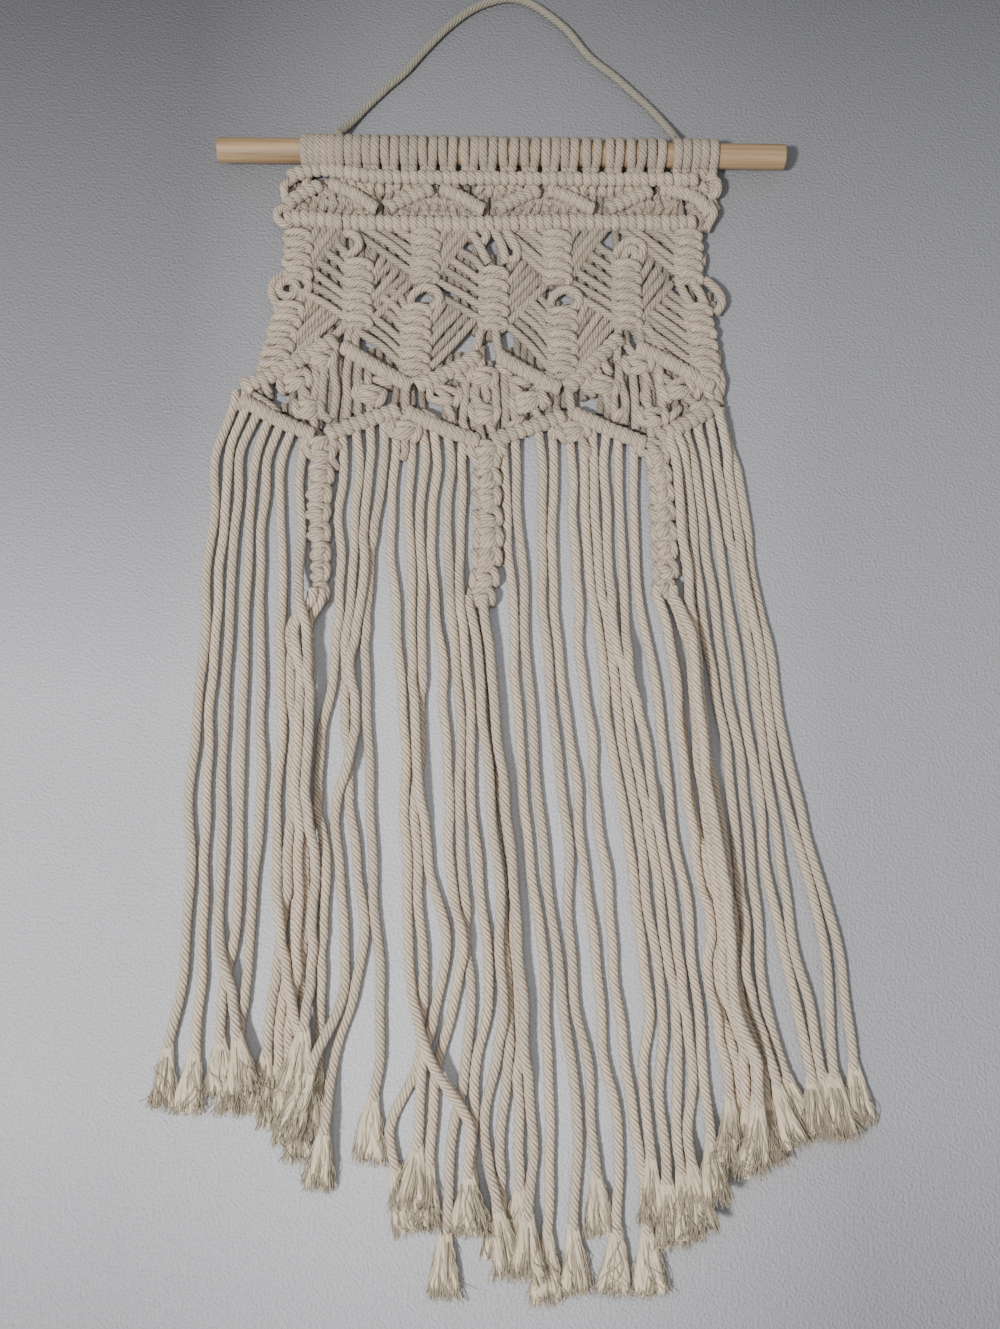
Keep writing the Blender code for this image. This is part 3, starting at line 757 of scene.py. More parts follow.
groups = {}
for label, letters in FRINGE_PIECES.items():
    groups[label] = [name for name in PUT_DOWN_ORDER if name[0] in letters]
for number, (label, names) in enumerate(groups.items()):
    routes = Routes(label, seed=20 + number)
    for name in names:
        line = cord_line(loose[name], loose[name]["fray"] + 2)
        routes.lay(np.vstack([line[0] + UNDER_THE_NET, line]), between=2)
    piece = make_cords(routes, fringe_cotton_painted_light)
    join_frame(piece, "fringe_cord", "fringe")

# %% [markdown]
# ## Frayed ends
# Each cord ends in a little brush: the three plies open, and their yarns spread, bend and part, cut off
# bluntly. Fibres alone would look thin, and solid lobes alone would look like wax, so each brush has a
# soft core of wide lobes with many single fibres over it. All of them start inside the cord, fan out
# around the way the cord was going, and curl a little. The same tree sweeps a thin outline along each.

# %% One frayed end
FIBRES = 84
LOBES = 5
ALONG_BRUSH = np.linspace(0, 1, 10)
MOUTH = 0.24  # how wide the brush is where it leaves the cord, as a share of its end
FLATNESS = 0.36


def brush(fibres, core, root, tip, spread):
    """Adds one frayed end from root to tip: a soft core of wide lobes, single fibres over it."""
    chance = fibres.chance
    reach = np.linalg.norm(tip - root)
    way = (tip - root) / reach
    side = np.array([-way[1], way[0], 0.0])
    side /= np.linalg.norm(side)
    rise = np.array([0.0, 0.0, 1.0])
    lean = chance.gauss(0, 1.6)
    t = ALONG_BRUSH

    def bend(across, over, length, curl):
        start, bends = chance.uniform(0, FULL_TURN), chance.uniform(5, 11)
        wave = curl * t * np.sin(start + bends * t) + lean * t**2
        hair = 0.6 * curl * t * np.cos(start * 2 + bends * t)
        opened = MOUTH + (1 - MOUTH) * t
        return (
            root + way * (t * length)[:, None]
            + side * (across * spread * opened + wave)[:, None]
            + rise * (over * spread * FLATNESS * opened + hair)[:, None]
        )

    for k in range(LOBES):
        across = 0.62 * (2 * (k + 0.5) / LOBES - 1) + chance.uniform(-0.06, 0.06)
        line = bend(across, chance.uniform(-0.25, 0.25), reach * chance.uniform(0.9, 1.03), 0.8)
        widths = np.interp(t, [0, 0.45, 0.85, 1], [3.2, 0.54 * spread, 0.64 * spread, 0.42 * spread])
        line[:, 2] = np.maximum(line[:, 2], widths / 2)
        core.cords.append((line, widths, chance.uniform(0, 6), chance.uniform(-1, 1)))
    for _ in range(FIBRES):
        curl = chance.gauss(0, 1.0) if chance.random() < 0.65 else chance.gauss(0, 2.3)
        over = abs(chance.gauss(0, 0.5)) + 0.55
        across = chance.uniform(-1, 1)
        line = bend(across, over * (1 - 0.6 * across**2), reach * chance.uniform(0.9, 1.08), curl)
        widths = np.interp(t, [0, 1], [0.7, 0.4])
        line[:, 2] = np.maximum(line[:, 2], 0.4)
        fibres.cords.append((line[2:], widths[2:], chance.uniform(0, 6), chance.uniform(-1, 1)))


print("each frayed end has", LOBES, "lobes and", FIBRES, "fibres")

# %% Fray every cord
NARROWEST_SPREAD, WIDEST_SPREAD = 7.0, 9.8

for number, (label, names) in enumerate(groups.items()):
    fibres = Routes(label.replace("fringe", "frayed_tips"), seed=40 + number)
    core = Routes(label.replace("fringe", "tufts"), seed=60 + number)
    for name in names:
        cord = loose[name]
        places = cord_line(cord, cord["end"])
        inside = cord["fray"] - 1.5
        root = np.array([np.interp(inside, places[:, 1], places[:, k]) for k in range(3)])
        spread = fibres.chance.uniform(NARROWEST_SPREAD, WIDEST_SPREAD)
        brush(fibres, core, root, places[-1], spread)
    for routes, step, sides in ((fibres, 2.6, 3), (core, 1.8, 11)):
        piece = make_cords(routes, frayed_cotton, step=step, sides=sides, groove=1.0, lay_length=60)
        join_frame(piece, "fringe_cord", "fringe")

# %% [markdown]
# ## The heading
# Each cord is folded in half and mounted on the dowel with a lark's head, so the heading is a row of
# pairs of loops that close in on each other at the bottom and leave small triangles of wood between.

# %% Wrap the dowel
WRAP_WIDTH = 5.0
WRAP_RADIUS = DOWEL_RADIUS + 0.2 + WRAP_WIDTH / 2
PINCHED = 1.95
# Each pair of loops: its middle, and half the distance between its two cords on top of the dowel.
WRAP_PAIRS = [
    (-103.3, 1.8), (-96.3, 1.7), (-88.7, 2.2), (-79.4, 2.3), (-69.9, 2.4), (-59.7, 2.7), (-49.5, 2.5),
    (-39.3, 2.9), (-28.6, 2.8), (-17.0, 2.8), (-7.1, 2.7), (3.8, 3.1), (15.3, 3.1), (26.4, 2.7),
    (36.5, 2.6), (48.3, 3.0), (60.5, 2.7), (72.2, 3.1), (83.1, 2.7),
]
LAST_WRAPS = [94.4, 99.3, 104.3, 108.8, 113.7]


def wrap(routes, x_top, x_bottom):
    """One loop over the dowel: up in front from the first row, over the top and down behind."""
    line = [(x_bottom, 14.0, 8.0), (x_bottom, 11.5, 10.5)]
    for degrees in range(88, -236, -12):
        angle = math.radians(degrees)
        share = min(max((degrees - 10) / 100, 0), 1) ** 1.6
        line.append((
            x_top + (x_bottom - x_top) * share,
            WRAP_RADIUS * math.sin(angle),
            max(AXIS_HEIGHT + WRAP_RADIUS * math.cos(angle), WRAP_WIDTH / 2),
        ))
    routes.lay(line, width=WRAP_WIDTH, between=3)


heading = Routes("heading_cords", seed=60)
for middle, half_gap in WRAP_PAIRS:
    wrap(heading, middle - half_gap, middle - PINCHED)
    wrap(heading, middle + half_gap, middle + PINCHED)
for x in LAST_WRAPS:
    wrap(heading, x, x)
piece = make_cords(heading, heading_cotton_painted_shade)

# %% Press the wraps onto the wood
OFF_THE_WOOD = 0.1
OFF_THE_SURFACE = 0.2


def places_of(mesh):
    places = np.empty(len(mesh.vertices) * 3)
    mesh.vertices.foreach_get("co", places)
    return places.reshape(-1, 3)


def move_to(mesh, places):
    mesh.vertices.foreach_set("co", places.ravel())
    mesh.update()


def press_on_dowel(mesh, thickness):
    """Flattens what lies around the dowel to this thickness, because a tight wrap is not round."""
    places = places_of(mesh)
    axis = np.array([DOWEL[1], DOWEL[2]])
    out = places[:, 1:] - axis
    reach = np.linalg.norm(out, axis=1, keepdims=True)
    above = reach / MM - DOWEL_RADIUS
    tight = OFF_THE_WOOD + (above - OFF_THE_WOOD) * thickness / WRAP_WIDTH
    loosely = thickness + above - WRAP_WIDTH
    pressed = DOWEL_RADIUS + np.where(above < WRAP_WIDTH, tight, loosely)
    places[:, 1:] = axis + out / reach * pressed * MM
    places[:, 2] = np.maximum(places[:, 2], OFF_THE_SURFACE * MM)
    move_to(mesh, places)


press_on_dowel(piece.data, thickness=2.3)
join_frame(piece, "heading_cord", "heading_main", "heading_short")
print("wraps on the dowel:", len(heading.cords))

# %% [markdown]
# ## Places in the net
# The net is thin but not flat: rows stand up and cords dive under one another. Its tables give each
# place as the camera sees it on one level plane. A place that stands higher is moved along the line of
# sight, towards the camera, so that it still covers the place where the table puts it.

# %% From what is seen to where it is
NET_HEIGHT = 5.0


def seen(x, drop, z):
    """The place at height z that covers (x, drop) on the net's own plane."""
    share = (z - NET_HEIGHT) / (CAMERA_AT[2] - NET_HEIGHT)
    return (x + (CAMERA_AT[0] - x) * share, drop + (CAMERA_AT[1] - drop) * share, z)


def strand(routes, *places, width=4.8):
    """A cord of the net through places (x, drop, z), as seen."""
    routes.lay([seen(*place) for place in places], width=width)


print("a place 8 mm up is moved", round(seen(0, 40, 8)[1] - 40, 1), "mm towards the fringe")

# %% [markdown]
# ## Hitched rows
# The net is held by rows of double half hitches: each cord takes two turns round a cord that runs
# along the row. What shows is a row of short bars, so tight that they press flat against each other.
# Each bar is laid round the hidden cord, and then the whole row is pressed onto that cord.


# %% The route of a row
class Row:
    """A route for the hidden cord of a row, at one height, with stations measured along it."""

    def __init__(self, bends, height, hidden, thickness):
        route = smooth([(x, drop, 0.0) for x, drop in bends], 10)[:, :2]
        top = height + hidden + thickness
        self.line = np.array([seen(x, drop, top)[:2] for x, drop in route])
        steps = np.linalg.norm(np.diff(self.line, axis=0), axis=1)
        self.stations = np.concatenate([[0], np.cumsum(steps)])
        self.height, self.hidden, self.thickness = height, hidden, thickness

    def at(self, station):
        return np.array([np.interp(station, self.stations, self.line[:, n]) for n in range(2)])

    def way(self, station):
        step = self.at(station + 1) - self.at(station - 1)
        return step / np.linalg.norm(step)


# %% Hitches side by side
BAR_WIDTH = 5.0
BAR_SLANT = 0.5


def hitched_row(routes, rows, bends, pitch, height, hidden, thickness, width=BAR_WIDTH):
    """Bars side by side round a hidden cord that runs along bends, places (x, drop)."""
    row = Row(bends, height, hidden, thickness)
    rows.append(row)
    count = max(2, round(row.stations[-1] / pitch))
    for k in range(count):
        station = row.stations[-1] * (k + 0.5) / count + routes.chance.uniform(-0.3, 0.3)
        along = row.way(station)
        across = np.array([-along[1], along[0]])
        middle = row.at(station)
        radius = hidden + width / 2 + routes.chance.uniform(-0.15, 0.15)
        line = []
        for degrees in range(-120, 121, 20):
            aside, up = math.sin(math.radians(degrees)), math.cos(math.radians(degrees))
            x, drop = middle + across * radius * aside + along * BAR_SLANT * aside
            line.append((x, drop, height + radius * up))
        routes.lay(line, width=width * routes.chance.uniform(0.97, 1.05), between=3)


# %% Press the hitches onto their cords
STATION_STEP = 2.0


def in_millimetres(places):
    """The opposite of in_metres."""
    x, y, z = places.T
    return np.stack([(x - DOWEL[0]) / MM, (DOWEL[1] - y) / MM, z / MM], axis=1)


def press_on_rows(mesh, rows):
    """Flattens the bars onto their hidden cords, because a tight hitch is not round."""
    local = in_millimetres(places_of(mesh))
    nearest = np.full(len(local), np.inf)
    pressed = local.copy()
    for row in rows:
        for station in np.arange(0, row.stations[-1], STATION_STEP):
            centre = np.array([*row.at(station), row.height])
            along = np.array([*row.way(station), 0.0])
            out = local - centre
            distance = np.linalg.norm(out, axis=1)
            closer = distance < nearest
            nearest[closer] = distance[closer]
            out = out[closer]
            forward = (out @ along)[:, None] * along
            radial = out - forward
            reach = np.maximum(np.linalg.norm(radial, axis=1, keepdims=True), 0.01)
            flat = row.hidden + (reach - row.hidden) * row.thickness / BAR_WIDTH
            wanted = np.where(reach > row.hidden, flat, reach)
            pressed[closer] = centre + forward + radial / reach * wanted
    pressed[:, 2] = np.maximum(pressed[:, 2], 0.1)
    move_to(mesh, in_metres(pressed))


# %% The two level rows
FIRST_ROW = [
    (-116, 9), (-106, 5), (-95, 4), (-85, 5.2), (-74, 7.2), (-58, 8), (0, 8), (60, 7.8), (90, 7.4),
    (107, 7.4),
]
SECOND_ROW = [
    (-117, 34), (-104, 33.6), (-84, 35.4), (-60, 36), (-25, 36), (5, 35.2), (35, 34), (70, 33.8),
    (105, 33.6),
]
level_rows = Routes("level_rows_of_hitches", seed=70)
placed_rows = []
hitched_row(level_rows, placed_rows, FIRST_ROW, pitch=4.4, height=10.0, hidden=0.9, thickness=3.0)
hitched_row(level_rows, placed_rows, SECOND_ROW, pitch=4.5, height=5.2, hidden=1.7, thickness=3.2)
piece = make_cords(level_rows, knotted_cotton_painted_shade)
press_on_rows(piece.data, placed_rows)
join_frame(piece, "panel_cord", "knotted_panel")

# %% [markdown]
# Between the level rows runs a shallow zigzag of hitches, and below the fans two deeper zigzags meet at
# the sides and frame three diamonds. Bars that run downhill to the right are pulled tighter than the
# others, because the knotter works from the left.

# %% Zigzags
TIGHT = {"pitch": 3.3, "width": 4.5}
LOOSE = {"pitch": 4.2}
SMALL_PEAKS = [
    ([(-116, 27), (-108, 20), (-98, 14.5)], LOOSE),
    ([(-93, 13.5), (-80, 19.5), (-67, 29)], TIGHT),
    ([(-61, 28), (-50, 21.5), (-38, 16)], LOOSE),
    ([(-33, 15.5), (-21, 21), (-9, 29)], TIGHT),
    ([(-2, 28), (9, 21.5), (20, 16)], LOOSE),
    ([(26, 15.5), (39, 21), (50, 27.5)], TIGHT),
    ([(58, 27), (70, 21), (81, 15.5)], LOOSE),
    ([(87, 14.5), (100, 17), (108, 21), (113, 29)], TIGHT),
]
UPPER_ZIGZAG = [
    ([(-133, 132), (-121, 127), (-104, 116.5), (-87, 105)], LOOSE),
    ([(-82, 109), (-65, 120), (-46, 131)], TIGHT),
    ([(-43, 131), (-30, 125), (-20, 119.5), (-11, 113)], LOOSE),
    ([(0, 113), (14, 122), (32, 131.5)], TIGHT),
    ([(37, 131), (48, 119), (56, 110), (63, 102)], LOOSE),
    ([(73, 107), (92, 117), (112, 130)], TIGHT),
]
LOWER_ZIGZAG = [
    ([(-133, 140), (-115, 150.5), (-95, 159.5)], TIGHT),
    ([(-88, 159), (-72, 152), (-52, 144.5)], LOOSE),
    ([(-47, 145.5), (-30, 154), (-10, 161.5)], TIGHT),
    ([(-3, 161), (14, 154.5), (34, 147)], LOOSE),
    ([(40, 145.5), (57, 153.5), (76, 161.5)], TIGHT),
    ([(83, 158), (98, 150), (114, 140)], LOOSE),
]
zigzags = Routes("zigzags_of_hitches", seed=72)
placed_rows = []
for stretch, sizes in SMALL_PEAKS:
    stretch = [(x, drop - 1.0) for x, drop in stretch]
    hitched_row(zigzags, placed_rows, stretch, height=6.8, hidden=1.0, thickness=2.9, **sizes)
for stretch, sizes in UPPER_ZIGZAG + LOWER_ZIGZAG:
    hitched_row(zigzags, placed_rows, stretch, height=6.4, hidden=1.3, thickness=3.0, **sizes)
piece = make_cords(zigzags, knotted_cotton_painted_shade)
press_on_rows(piece.data, placed_rows)
join_frame(piece, "panel_cord", "knotted_panel")

# %% [markdown]
# ## Fans and columns of square knots
# Between the rows the cords gather into columns of square knots. A cord slants down from the left,
# crosses over the column as the bar of a knot, and turns down in a round bump at the right. Below each
# bar lies a second one that starts in a smaller bump at the left. From the right more cords slant
# down and slip under the bumps. A knot that stands alone, in a diamond or a sennit, is rounder: two
# bowed bars, a bump at each side, and one cord on top that pulls it together.


# %% Humps and turned strands
def hump(routes, x, drop, degrees, length, top, width=4.6, bow=0.0):
    """A short stretch of cord that comes up, crosses over, bowed to one side, and goes down again."""
    way = np.array([math.cos(math.radians(degrees)), math.sin(math.radians(degrees))]) * length / 2
    shoulder = top - 0.6
    steps = [
        (-0.7, 2.4), (-0.95, 4.4), (-0.5, shoulder), (0, top), (0.5, shoulder), (0.95, 4.4), (0.7, 2.4),
    ]
    line = []
    for share, z in steps:
        aside = bow * (1 - share**2) / (length / 2)
        x_here = x + way[0] * share - way[1] * aside
        drop_here = drop + way[1] * share + way[0] * aside
        line.append((x_here, drop_here, z))
    strand(routes, *line, width=width)


def turned(routes, x, drop, degrees, steps, width):
    """A strand through steps (across, down, height), turned about (x, drop)."""
    cos, sin = math.cos(math.radians(degrees)), math.sin(math.radians(degrees))
    line = []
    for across, down, z in steps:
        line.append((x + across * cos - down * sin, drop + across * sin + down * cos, z))
    strand(routes, *line, width=width)


# %% A square knot that stands alone
KNOT_TOP = 7.4
BARS_APART = 2.2
BUMP_LENGTH = 8.6


def knot(routes, x, drop, half, degrees, width=4.5, tails=True, bumps=(-1, 1)):
    """Two bowed bars, a bump at each side named in bumps, one cord on top, and the ends below."""
    chance = routes.chance
    angle = math.radians(degrees)
    across = np.array([math.cos(angle), math.sin(angle)])
    down = np.array([-math.sin(angle), math.cos(angle)])
    middle = np.array([x, drop], float)
    for side in (-1, 1):
        at = middle + down * side * BARS_APART + across * chance.uniform(-0.5, 0.5)
        high = KNOT_TOP - 0.6 + chance.uniform(-0.4, 0.3)
        hump(routes, *at, degrees + chance.uniform(-20, 14), half * 2.0, high, width, bow=side * 1.3)
    for side in bumps:
        at = middle + across * side * (half + 0.1) + down * chance.uniform(-0.8, 0.8)
        high = KNOT_TOP - 0.8 + chance.uniform(-0.4, 0.4)
        lie = degrees + 90 + chance.uniform(-14, 14)
        hump(routes, *at, lie, BUMP_LENGTH, high, width, bow=-side * 1.0)
    hump(routes, *middle, degrees + chance.uniform(-38, 38), half * 1.8, KNOT_TOP + 0.7, width)
    if tails:
        for side in (-1, 1):
            stray = chance.uniform(-1.5, 1.5)
            turned(routes, x, drop, degrees, [
                (side * half * 0.2, side * 2.0, 3.4),
                (side * half * 0.5, side * 6.5, 5.2),
                (side * half * 0.8 + stray, side * 11.0, 4.4),
                (side * half * 0.9, side * 15.0, 2.6),
            ], width)


# %% A knot of a column
def lower_bar(routes, x, drop, half, top, width):
    """The second bar of a knot in a column, with its small bump at the left."""
    turned(routes, x, drop, routes.chance.uniform(-9, 9), [
        (-half + 2.4, -3.2, 2.6), (-half + 0.4, -2.8, 4.2),
        (-half - 0.9, -1.0, top - 0.6), (-half + 0.6, 0.7, top - 0.2),
        (-half * 0.3, 0.2, top), (half * 0.4, 0.3, top - 0.4),
        (half - 0.6, 1.2, 3.6), (half - 1.6, 2.0, 2.4),
    ], width)


def column_knot(routes, x, drop, half, high, path):
    """One knot of a column: a bar that comes along path and turns down at the right, and one below."""
    if not path:
        path = [(x - half + 2, drop + 2.4, 2.6), (x - half - 0.2, drop + 1.6, 4.4)]
    bar = [
        (-half + 0.4, -0.2, 5.4), (-half * 0.4, -0.9, high - 0.3),
        (half * 0.3, -0.9, high), (half * 0.85, 0.1, high - 0.2),
        (half + 0.7, 2.2, high - 0.8), (half + 0.1, 4.0, 5.2), (half - 2.4, 4.3, 3.0),
    ]
    bar = [(x + across, drop + down, z) for across, down, z in bar]
    strand(routes, *path, *bar, width=4.3)
    lower_bar(routes, x, drop + 3.3, half, top=high - 1.5, width=4.1)


# %% A fan: a column with the cords that slant into it
KNOT_PITCH = 6.7
TUCK = 4  # how far a cord goes on under its neighbours at each end


def share_between(first, last, share):
    return np.array(first, float) + (np.array(last, float) - np.array(first, float)) * share


def from_the_left(chance, k, count, line, x, drop, half):
    """The way of one cord from its place on the line at the left to the edge of the column."""
    start = share_between(*line, k / (count - 1)) + [chance.uniform(-0.7, 0.7), 0]
    way = np.array([x - half, drop]) - start
    way /= max(1.0, np.linalg.norm(way))
    low = 4.0 + 1.2 * (k % 2) + chance.uniform(-0.3, 0.3)
    sag = np.array([way[1], -way[0]]) * chance.uniform(-0.6, 1.4)
    bend = share_between(start, (x - half, drop - 1.2), 0.5) + sag
    return [(*(start - way * TUCK), 2.5), (*start, low - 0.4), (*bend, low)]


def fan(routes, top, bottom, half, left, right, right_count):
    """A column of square knots, with the cords that slant into it from its left and right."""
    chance = routes.chance
    count = max(3, round((bottom[1] - top[1]) / KNOT_PITCH))
    for k in range(count):
        x, drop = share_between(top, bottom, (k + 0.35) / count)
        x += chance.uniform(-0.5, 0.5)
        drop += chance.uniform(-0.4, 0.4)
        high = KNOT_TOP + chance.uniform(-0.4, 0.5)
        path = from_the_left(chance, k, count, left, x, drop, half) if left else []
        column_knot(routes, x, drop, half, high, path)
    for k in range(right_count):
        share = k / max(1, right_count - 1)
        start = share_between(*right, share) + [chance.uniform(-0.6, 0.6), 0]
        x, drop = share_between(top, bottom, 0.16 + 0.8 * share)
        enter = np.array([x + half, drop])
        way = (enter - start) / np.linalg.norm(enter - start)
        sag = np.array([-way[1], way[0]]) * chance.uniform(-0.6, 1.2)
        bend = share_between(start, enter, 0.5) + sag
        low = 3.9 + 1.2 * (k % 2) + chance.uniform(-0.3, 0.3)
        strand(
            routes, (*(start - way * TUCK), 2.5), (*start, low - 0.4), (*bend, low),
            (*enter, low - 0.4), (*(enter + way * TUCK), 2.4), width=4.4,
        )


# %% Fans of the net
FANS = [
    # Top and bottom of the column, its half width, the line that the left cords come from, the line
    # that the right cords come from, and how many come from the right.
    ((-40, 42), (-40, 73), 5.6, ((-50, 41), (-78, 44)), ((-33, 41), (-17, 45)), 5),
    ((30, 42), (31, 73), 5.6, ((20, 41), (-3, 43)), ((37, 40), (55, 43)), 5),
    ((-109, 43), (-107, 72), 5.6, None, ((-103, 42), (-86, 45)), 5),
    ((100, 40), (101, 71), 5.4, ((91, 39), (66, 42)), ((107, 40), (108, 60)), 2),
    ((-75, 60), (-75, 100), 5.8, ((-86, 53), (-106, 80)), ((-67, 58), (-49, 76)), 6),
    ((-3, 64), (-3, 100), 5.8, ((-20, 56), (-34, 80)), ((8, 60), (22, 77)), 6),
    ((67, 59), (67, 99), 5.8, ((54, 53), (37, 79)), ((76, 57), (88, 76)), 5),
    ((-44, 86), (-44, 127), 6.0, ((-57, 79), (-74, 103)), ((-34, 85), (-15, 97)), 6),
    ((33, 87), (33, 127), 6.0, ((20, 81), (5, 98)), ((42, 83), (60, 96)), 6),
    ((-110, 86), (-119, 127), 6.0, None, ((-103, 83), (-87, 96)), 6),
    ((105, 84), (108, 130), 5.6, ((92, 80), (73, 102)), ((112, 88), (114, 116)), 2),
]
fans_left = Routes("fans_of_the_net_left", seed=80)
fans_right = Routes("fans_of_the_net_right", seed=81)
for row in FANS:
    fan(fans_left if row[0][0] < 0 else fans_right, *row)
for fans in (fans_left, fans_right):
    piece = make_cords(fans, knotted_cotton_painted_shade)
    join_frame(piece, "panel_cord", "knotted_panel")

# %% [markdown]
# Behind the fans and the diamonds lie the cords on their way from knot to knot. They show only as a dark
# layer in the gaps, dark from real shadow and from the painted shade of low places, so they are laid
# straight down, low and coarse, and left out wherever the net is open right through.

# %% Openings and edges of the net
OPEN = [
    # The middle of each opening, its half width and its half height.
    (-17, 56, 3, 4), (-5, 53, 3.2, 4.5), (5.5, 55, 2.6, 6), (57, 51, 5, 6), (-28, 82, 3.5, 3.5),
    (-45, 82, 3, 3.5), (28, 82, 3, 3.5), (91, 75, 3, 4), (-69, 109, 4, 5), (-18, 109, 5.5, 6.5),
    (-6.3, 113, 3.6, 6), (4, 105, 5.5, 5.5), (-84, 103, 3, 3), (57, 103, 3, 3), (69, 111, 4.5, 8),
    (-34, 146, 4, 5), (48, 143, 4, 4.5), (-58, 142, 3.5, 4.5), (23, 144, 3, 4), (-113, 140, 4.5, 4.5),
    (-90, 157, 2, 2), (-38, 83, 5, 3), (36, 83, 5, 3),
]
# Places (drop, x) where the net ends at its left and its right.
LEFT_EDGE = [
    (12, -112), (40, -112), (60, -107), (80, -112), (100, -110), (125, -120), (138, -130), (150, -112),
]
RIGHT_EDGE = [
    (12, 110), (40, 106), (60, 103), (80, 112), (100, 108), (125, 110), (140, 114), (150, 100),
]
bottom_x, bottom_drop = zip(*sorted(place for stretch, _ in LOWER_ZIGZAG for place in stretch))
print(len(OPEN), "openings are kept free")

# %% Cords behind
BEHIND_PITCH = 4.4
BEHIND_HEIGHT = 2.1


def is_open(x, drop):
    """Whether nothing lies here: in an opening, past an edge, or below the lower zigzag."""
    left, right = (np.interp(drop, *zip(*edge)) for edge in (LEFT_EDGE, RIGHT_EDGE))
    for hole_x, hole_drop, wide, high in OPEN:
        if ((x - hole_x) / wide) ** 2 + ((drop - hole_drop) / high) ** 2 < 1.0:
            return True
    return x < left or x > right or drop > np.interp(x, bottom_x, bottom_drop)


behind = Routes("cords_behind_the_net", seed=75)
for column in range(-29, 27):
    stretch = []
    for drop in np.arange(14, 165, 1.5):
        x = column * BEHIND_PITCH + 0.8 * math.sin(drop / 9 + column)
        if not is_open(x, drop):
            stretch.append((x, drop, BEHIND_HEIGHT))
        elif stretch:
            if len(stretch) > 3:
                strand(behind, *stretch[::3], width=4.2)
            stretch = []
piece = make_cords(behind, knotted_cotton_painted_shade, step=1.8, sides=6)
join_frame(piece, "panel_cord", "knotted_panel")

# %% [markdown]
# ## Between the rows, in the diamonds and at the edges
# Short cords join the level rows and the shallow zigzag. Each diamond holds four square knots with a
# few upright cords between them. At the edges of the net and below some columns the cords turn back in
# round loops.

# %% Loops and knots
LOOPS = [
    # Places (x, drop, height) along each cord.
    ((108, 9, 6), (113, 8.5, 9), (117, 12, 9), (116.5, 18, 8), (112, 21, 6)),
    ((-113, 14, 6), (-117, 17, 8), (-116, 24, 7), (-112, 28, 5)),
    ((-112, 31, 5), (-118.5, 31, 7), (-120, 36, 7), (-116, 40, 7), (-111, 40, 4)),
    ((112, 24, 6), (114.5, 30, 8), (112, 36, 6), (110, 41, 5)),
    ((-83, 45, 4), (-77.5, 46.5, 6.5), (-75.5, 52, 6.5), (-79, 57, 5), (-84, 59, 3)),
    ((-18, 42, 4), (-13, 48, 6), (-9.5, 55, 6), (-6, 62, 4)),
    ((-10, 42, 4), (-7.5, 45, 6), (-9, 49, 5.5), (-12, 51, 3.5)),
    ((-5, 41, 4), (-1, 47, 6), (2, 55, 6), (3, 62, 4)),
    ((2, 41, 4), (6, 47, 6.4), (9, 54, 6), (8, 59, 5), (4, 60, 3.4)),
    ((61, 60, 3), (63, 53, 5), (69, 47.5, 6), (75, 49, 6), (76, 54, 5.5), (72, 60, 4)),
    ((66, 61, 3), (67, 55, 5), (71, 52, 5.6), (72, 57, 5), (69, 62, 3)),
    (
        (-47, 89, 3.5), (-46, 81.5, 5.5), (-40, 76.5, 7), (-33.5, 78.5, 7.2), (-32, 84, 6.5),
        (-36, 88.5, 5.5), (-41, 88, 4),
    ),
    (
        (27, 89, 3.5), (28, 81.5, 5.5), (34, 76.8, 7), (40.5, 78.5, 7.2), (42, 84, 6.5),
        (38, 88, 5.5), (33, 88, 4),
    ),
    ((95, 72, 5), (98, 79, 5.5), (102, 86, 5)),
    ((102, 71, 5.5), (106, 78, 6), (109, 86, 5)),
    ((109, 70, 5), (115, 76, 6.5), (117.5, 83, 6.5), (114, 90, 5)),
    ((-104, 71, 5), (-101, 77, 5), (-106, 86, 5)),
    ((-115, 70, 4), (-119.5, 74, 5), (-120.5, 81, 5), (-117, 88, 5)),
]
# The middle of the one closed ring and its radius.
RING = (-112, 78, 4.6)
KNOTS = [
    # The middle of each knot and its half width.
    (-93, 117, 5.6), (-106, 131, 6.6), (-67, 138, 6.2), (-98, 147, 5.4), (-8, 127, 5.4),
    (-28, 138, 6.6), (15, 141, 6.6), (-7, 148, 5.4), (73, 119, 5.6), (54, 131, 6.6), (93, 133, 6.4),
    (80, 149, 5.4), (-48, 158, 6.0), (39, 157, 6.0), (-91, 167, 5.8), (-6, 168, 6.2), (80, 166, 5.4),
]
print(len(LOOPS), "loops and", len(KNOTS), "knots that stand alone")

# %% Humps and upright cords
HUMPS = [
    # The middle of each hump and the way it lies, in degrees.
    (-121, 134, 60), (-124, 141, 30), (-117, 146, 40), (-113, 125, 140), (-95, 128, 80),
    (-90, 150, 40), (-60, 131, 20), (-62, 149, 160), (-34, 131, 130), (-20, 128, 30), (-35, 150, 30),
    (-17, 156, 70), (3, 124, 40), (12, 130, 20), (24, 139, 60), (24, 133, 10), (9, 153, 150),
    (28, 128, 30), (45, 124, 130), (50, 117, 100), (56, 121, 60), (46, 134, 40), (63, 147, 140),
    (99, 126, 40), (104, 134, 110), (104, 142, 150), (91, 147, 130), (109, 135, 60), (-84, 165, 40),
    (-98, 165, 130), (2, 167, 60), (-13, 166, 120), (86, 164, 50), (73, 165, 130), (84, 126, 90),
    (30, 158, 120), (-56, 156, 60),
]
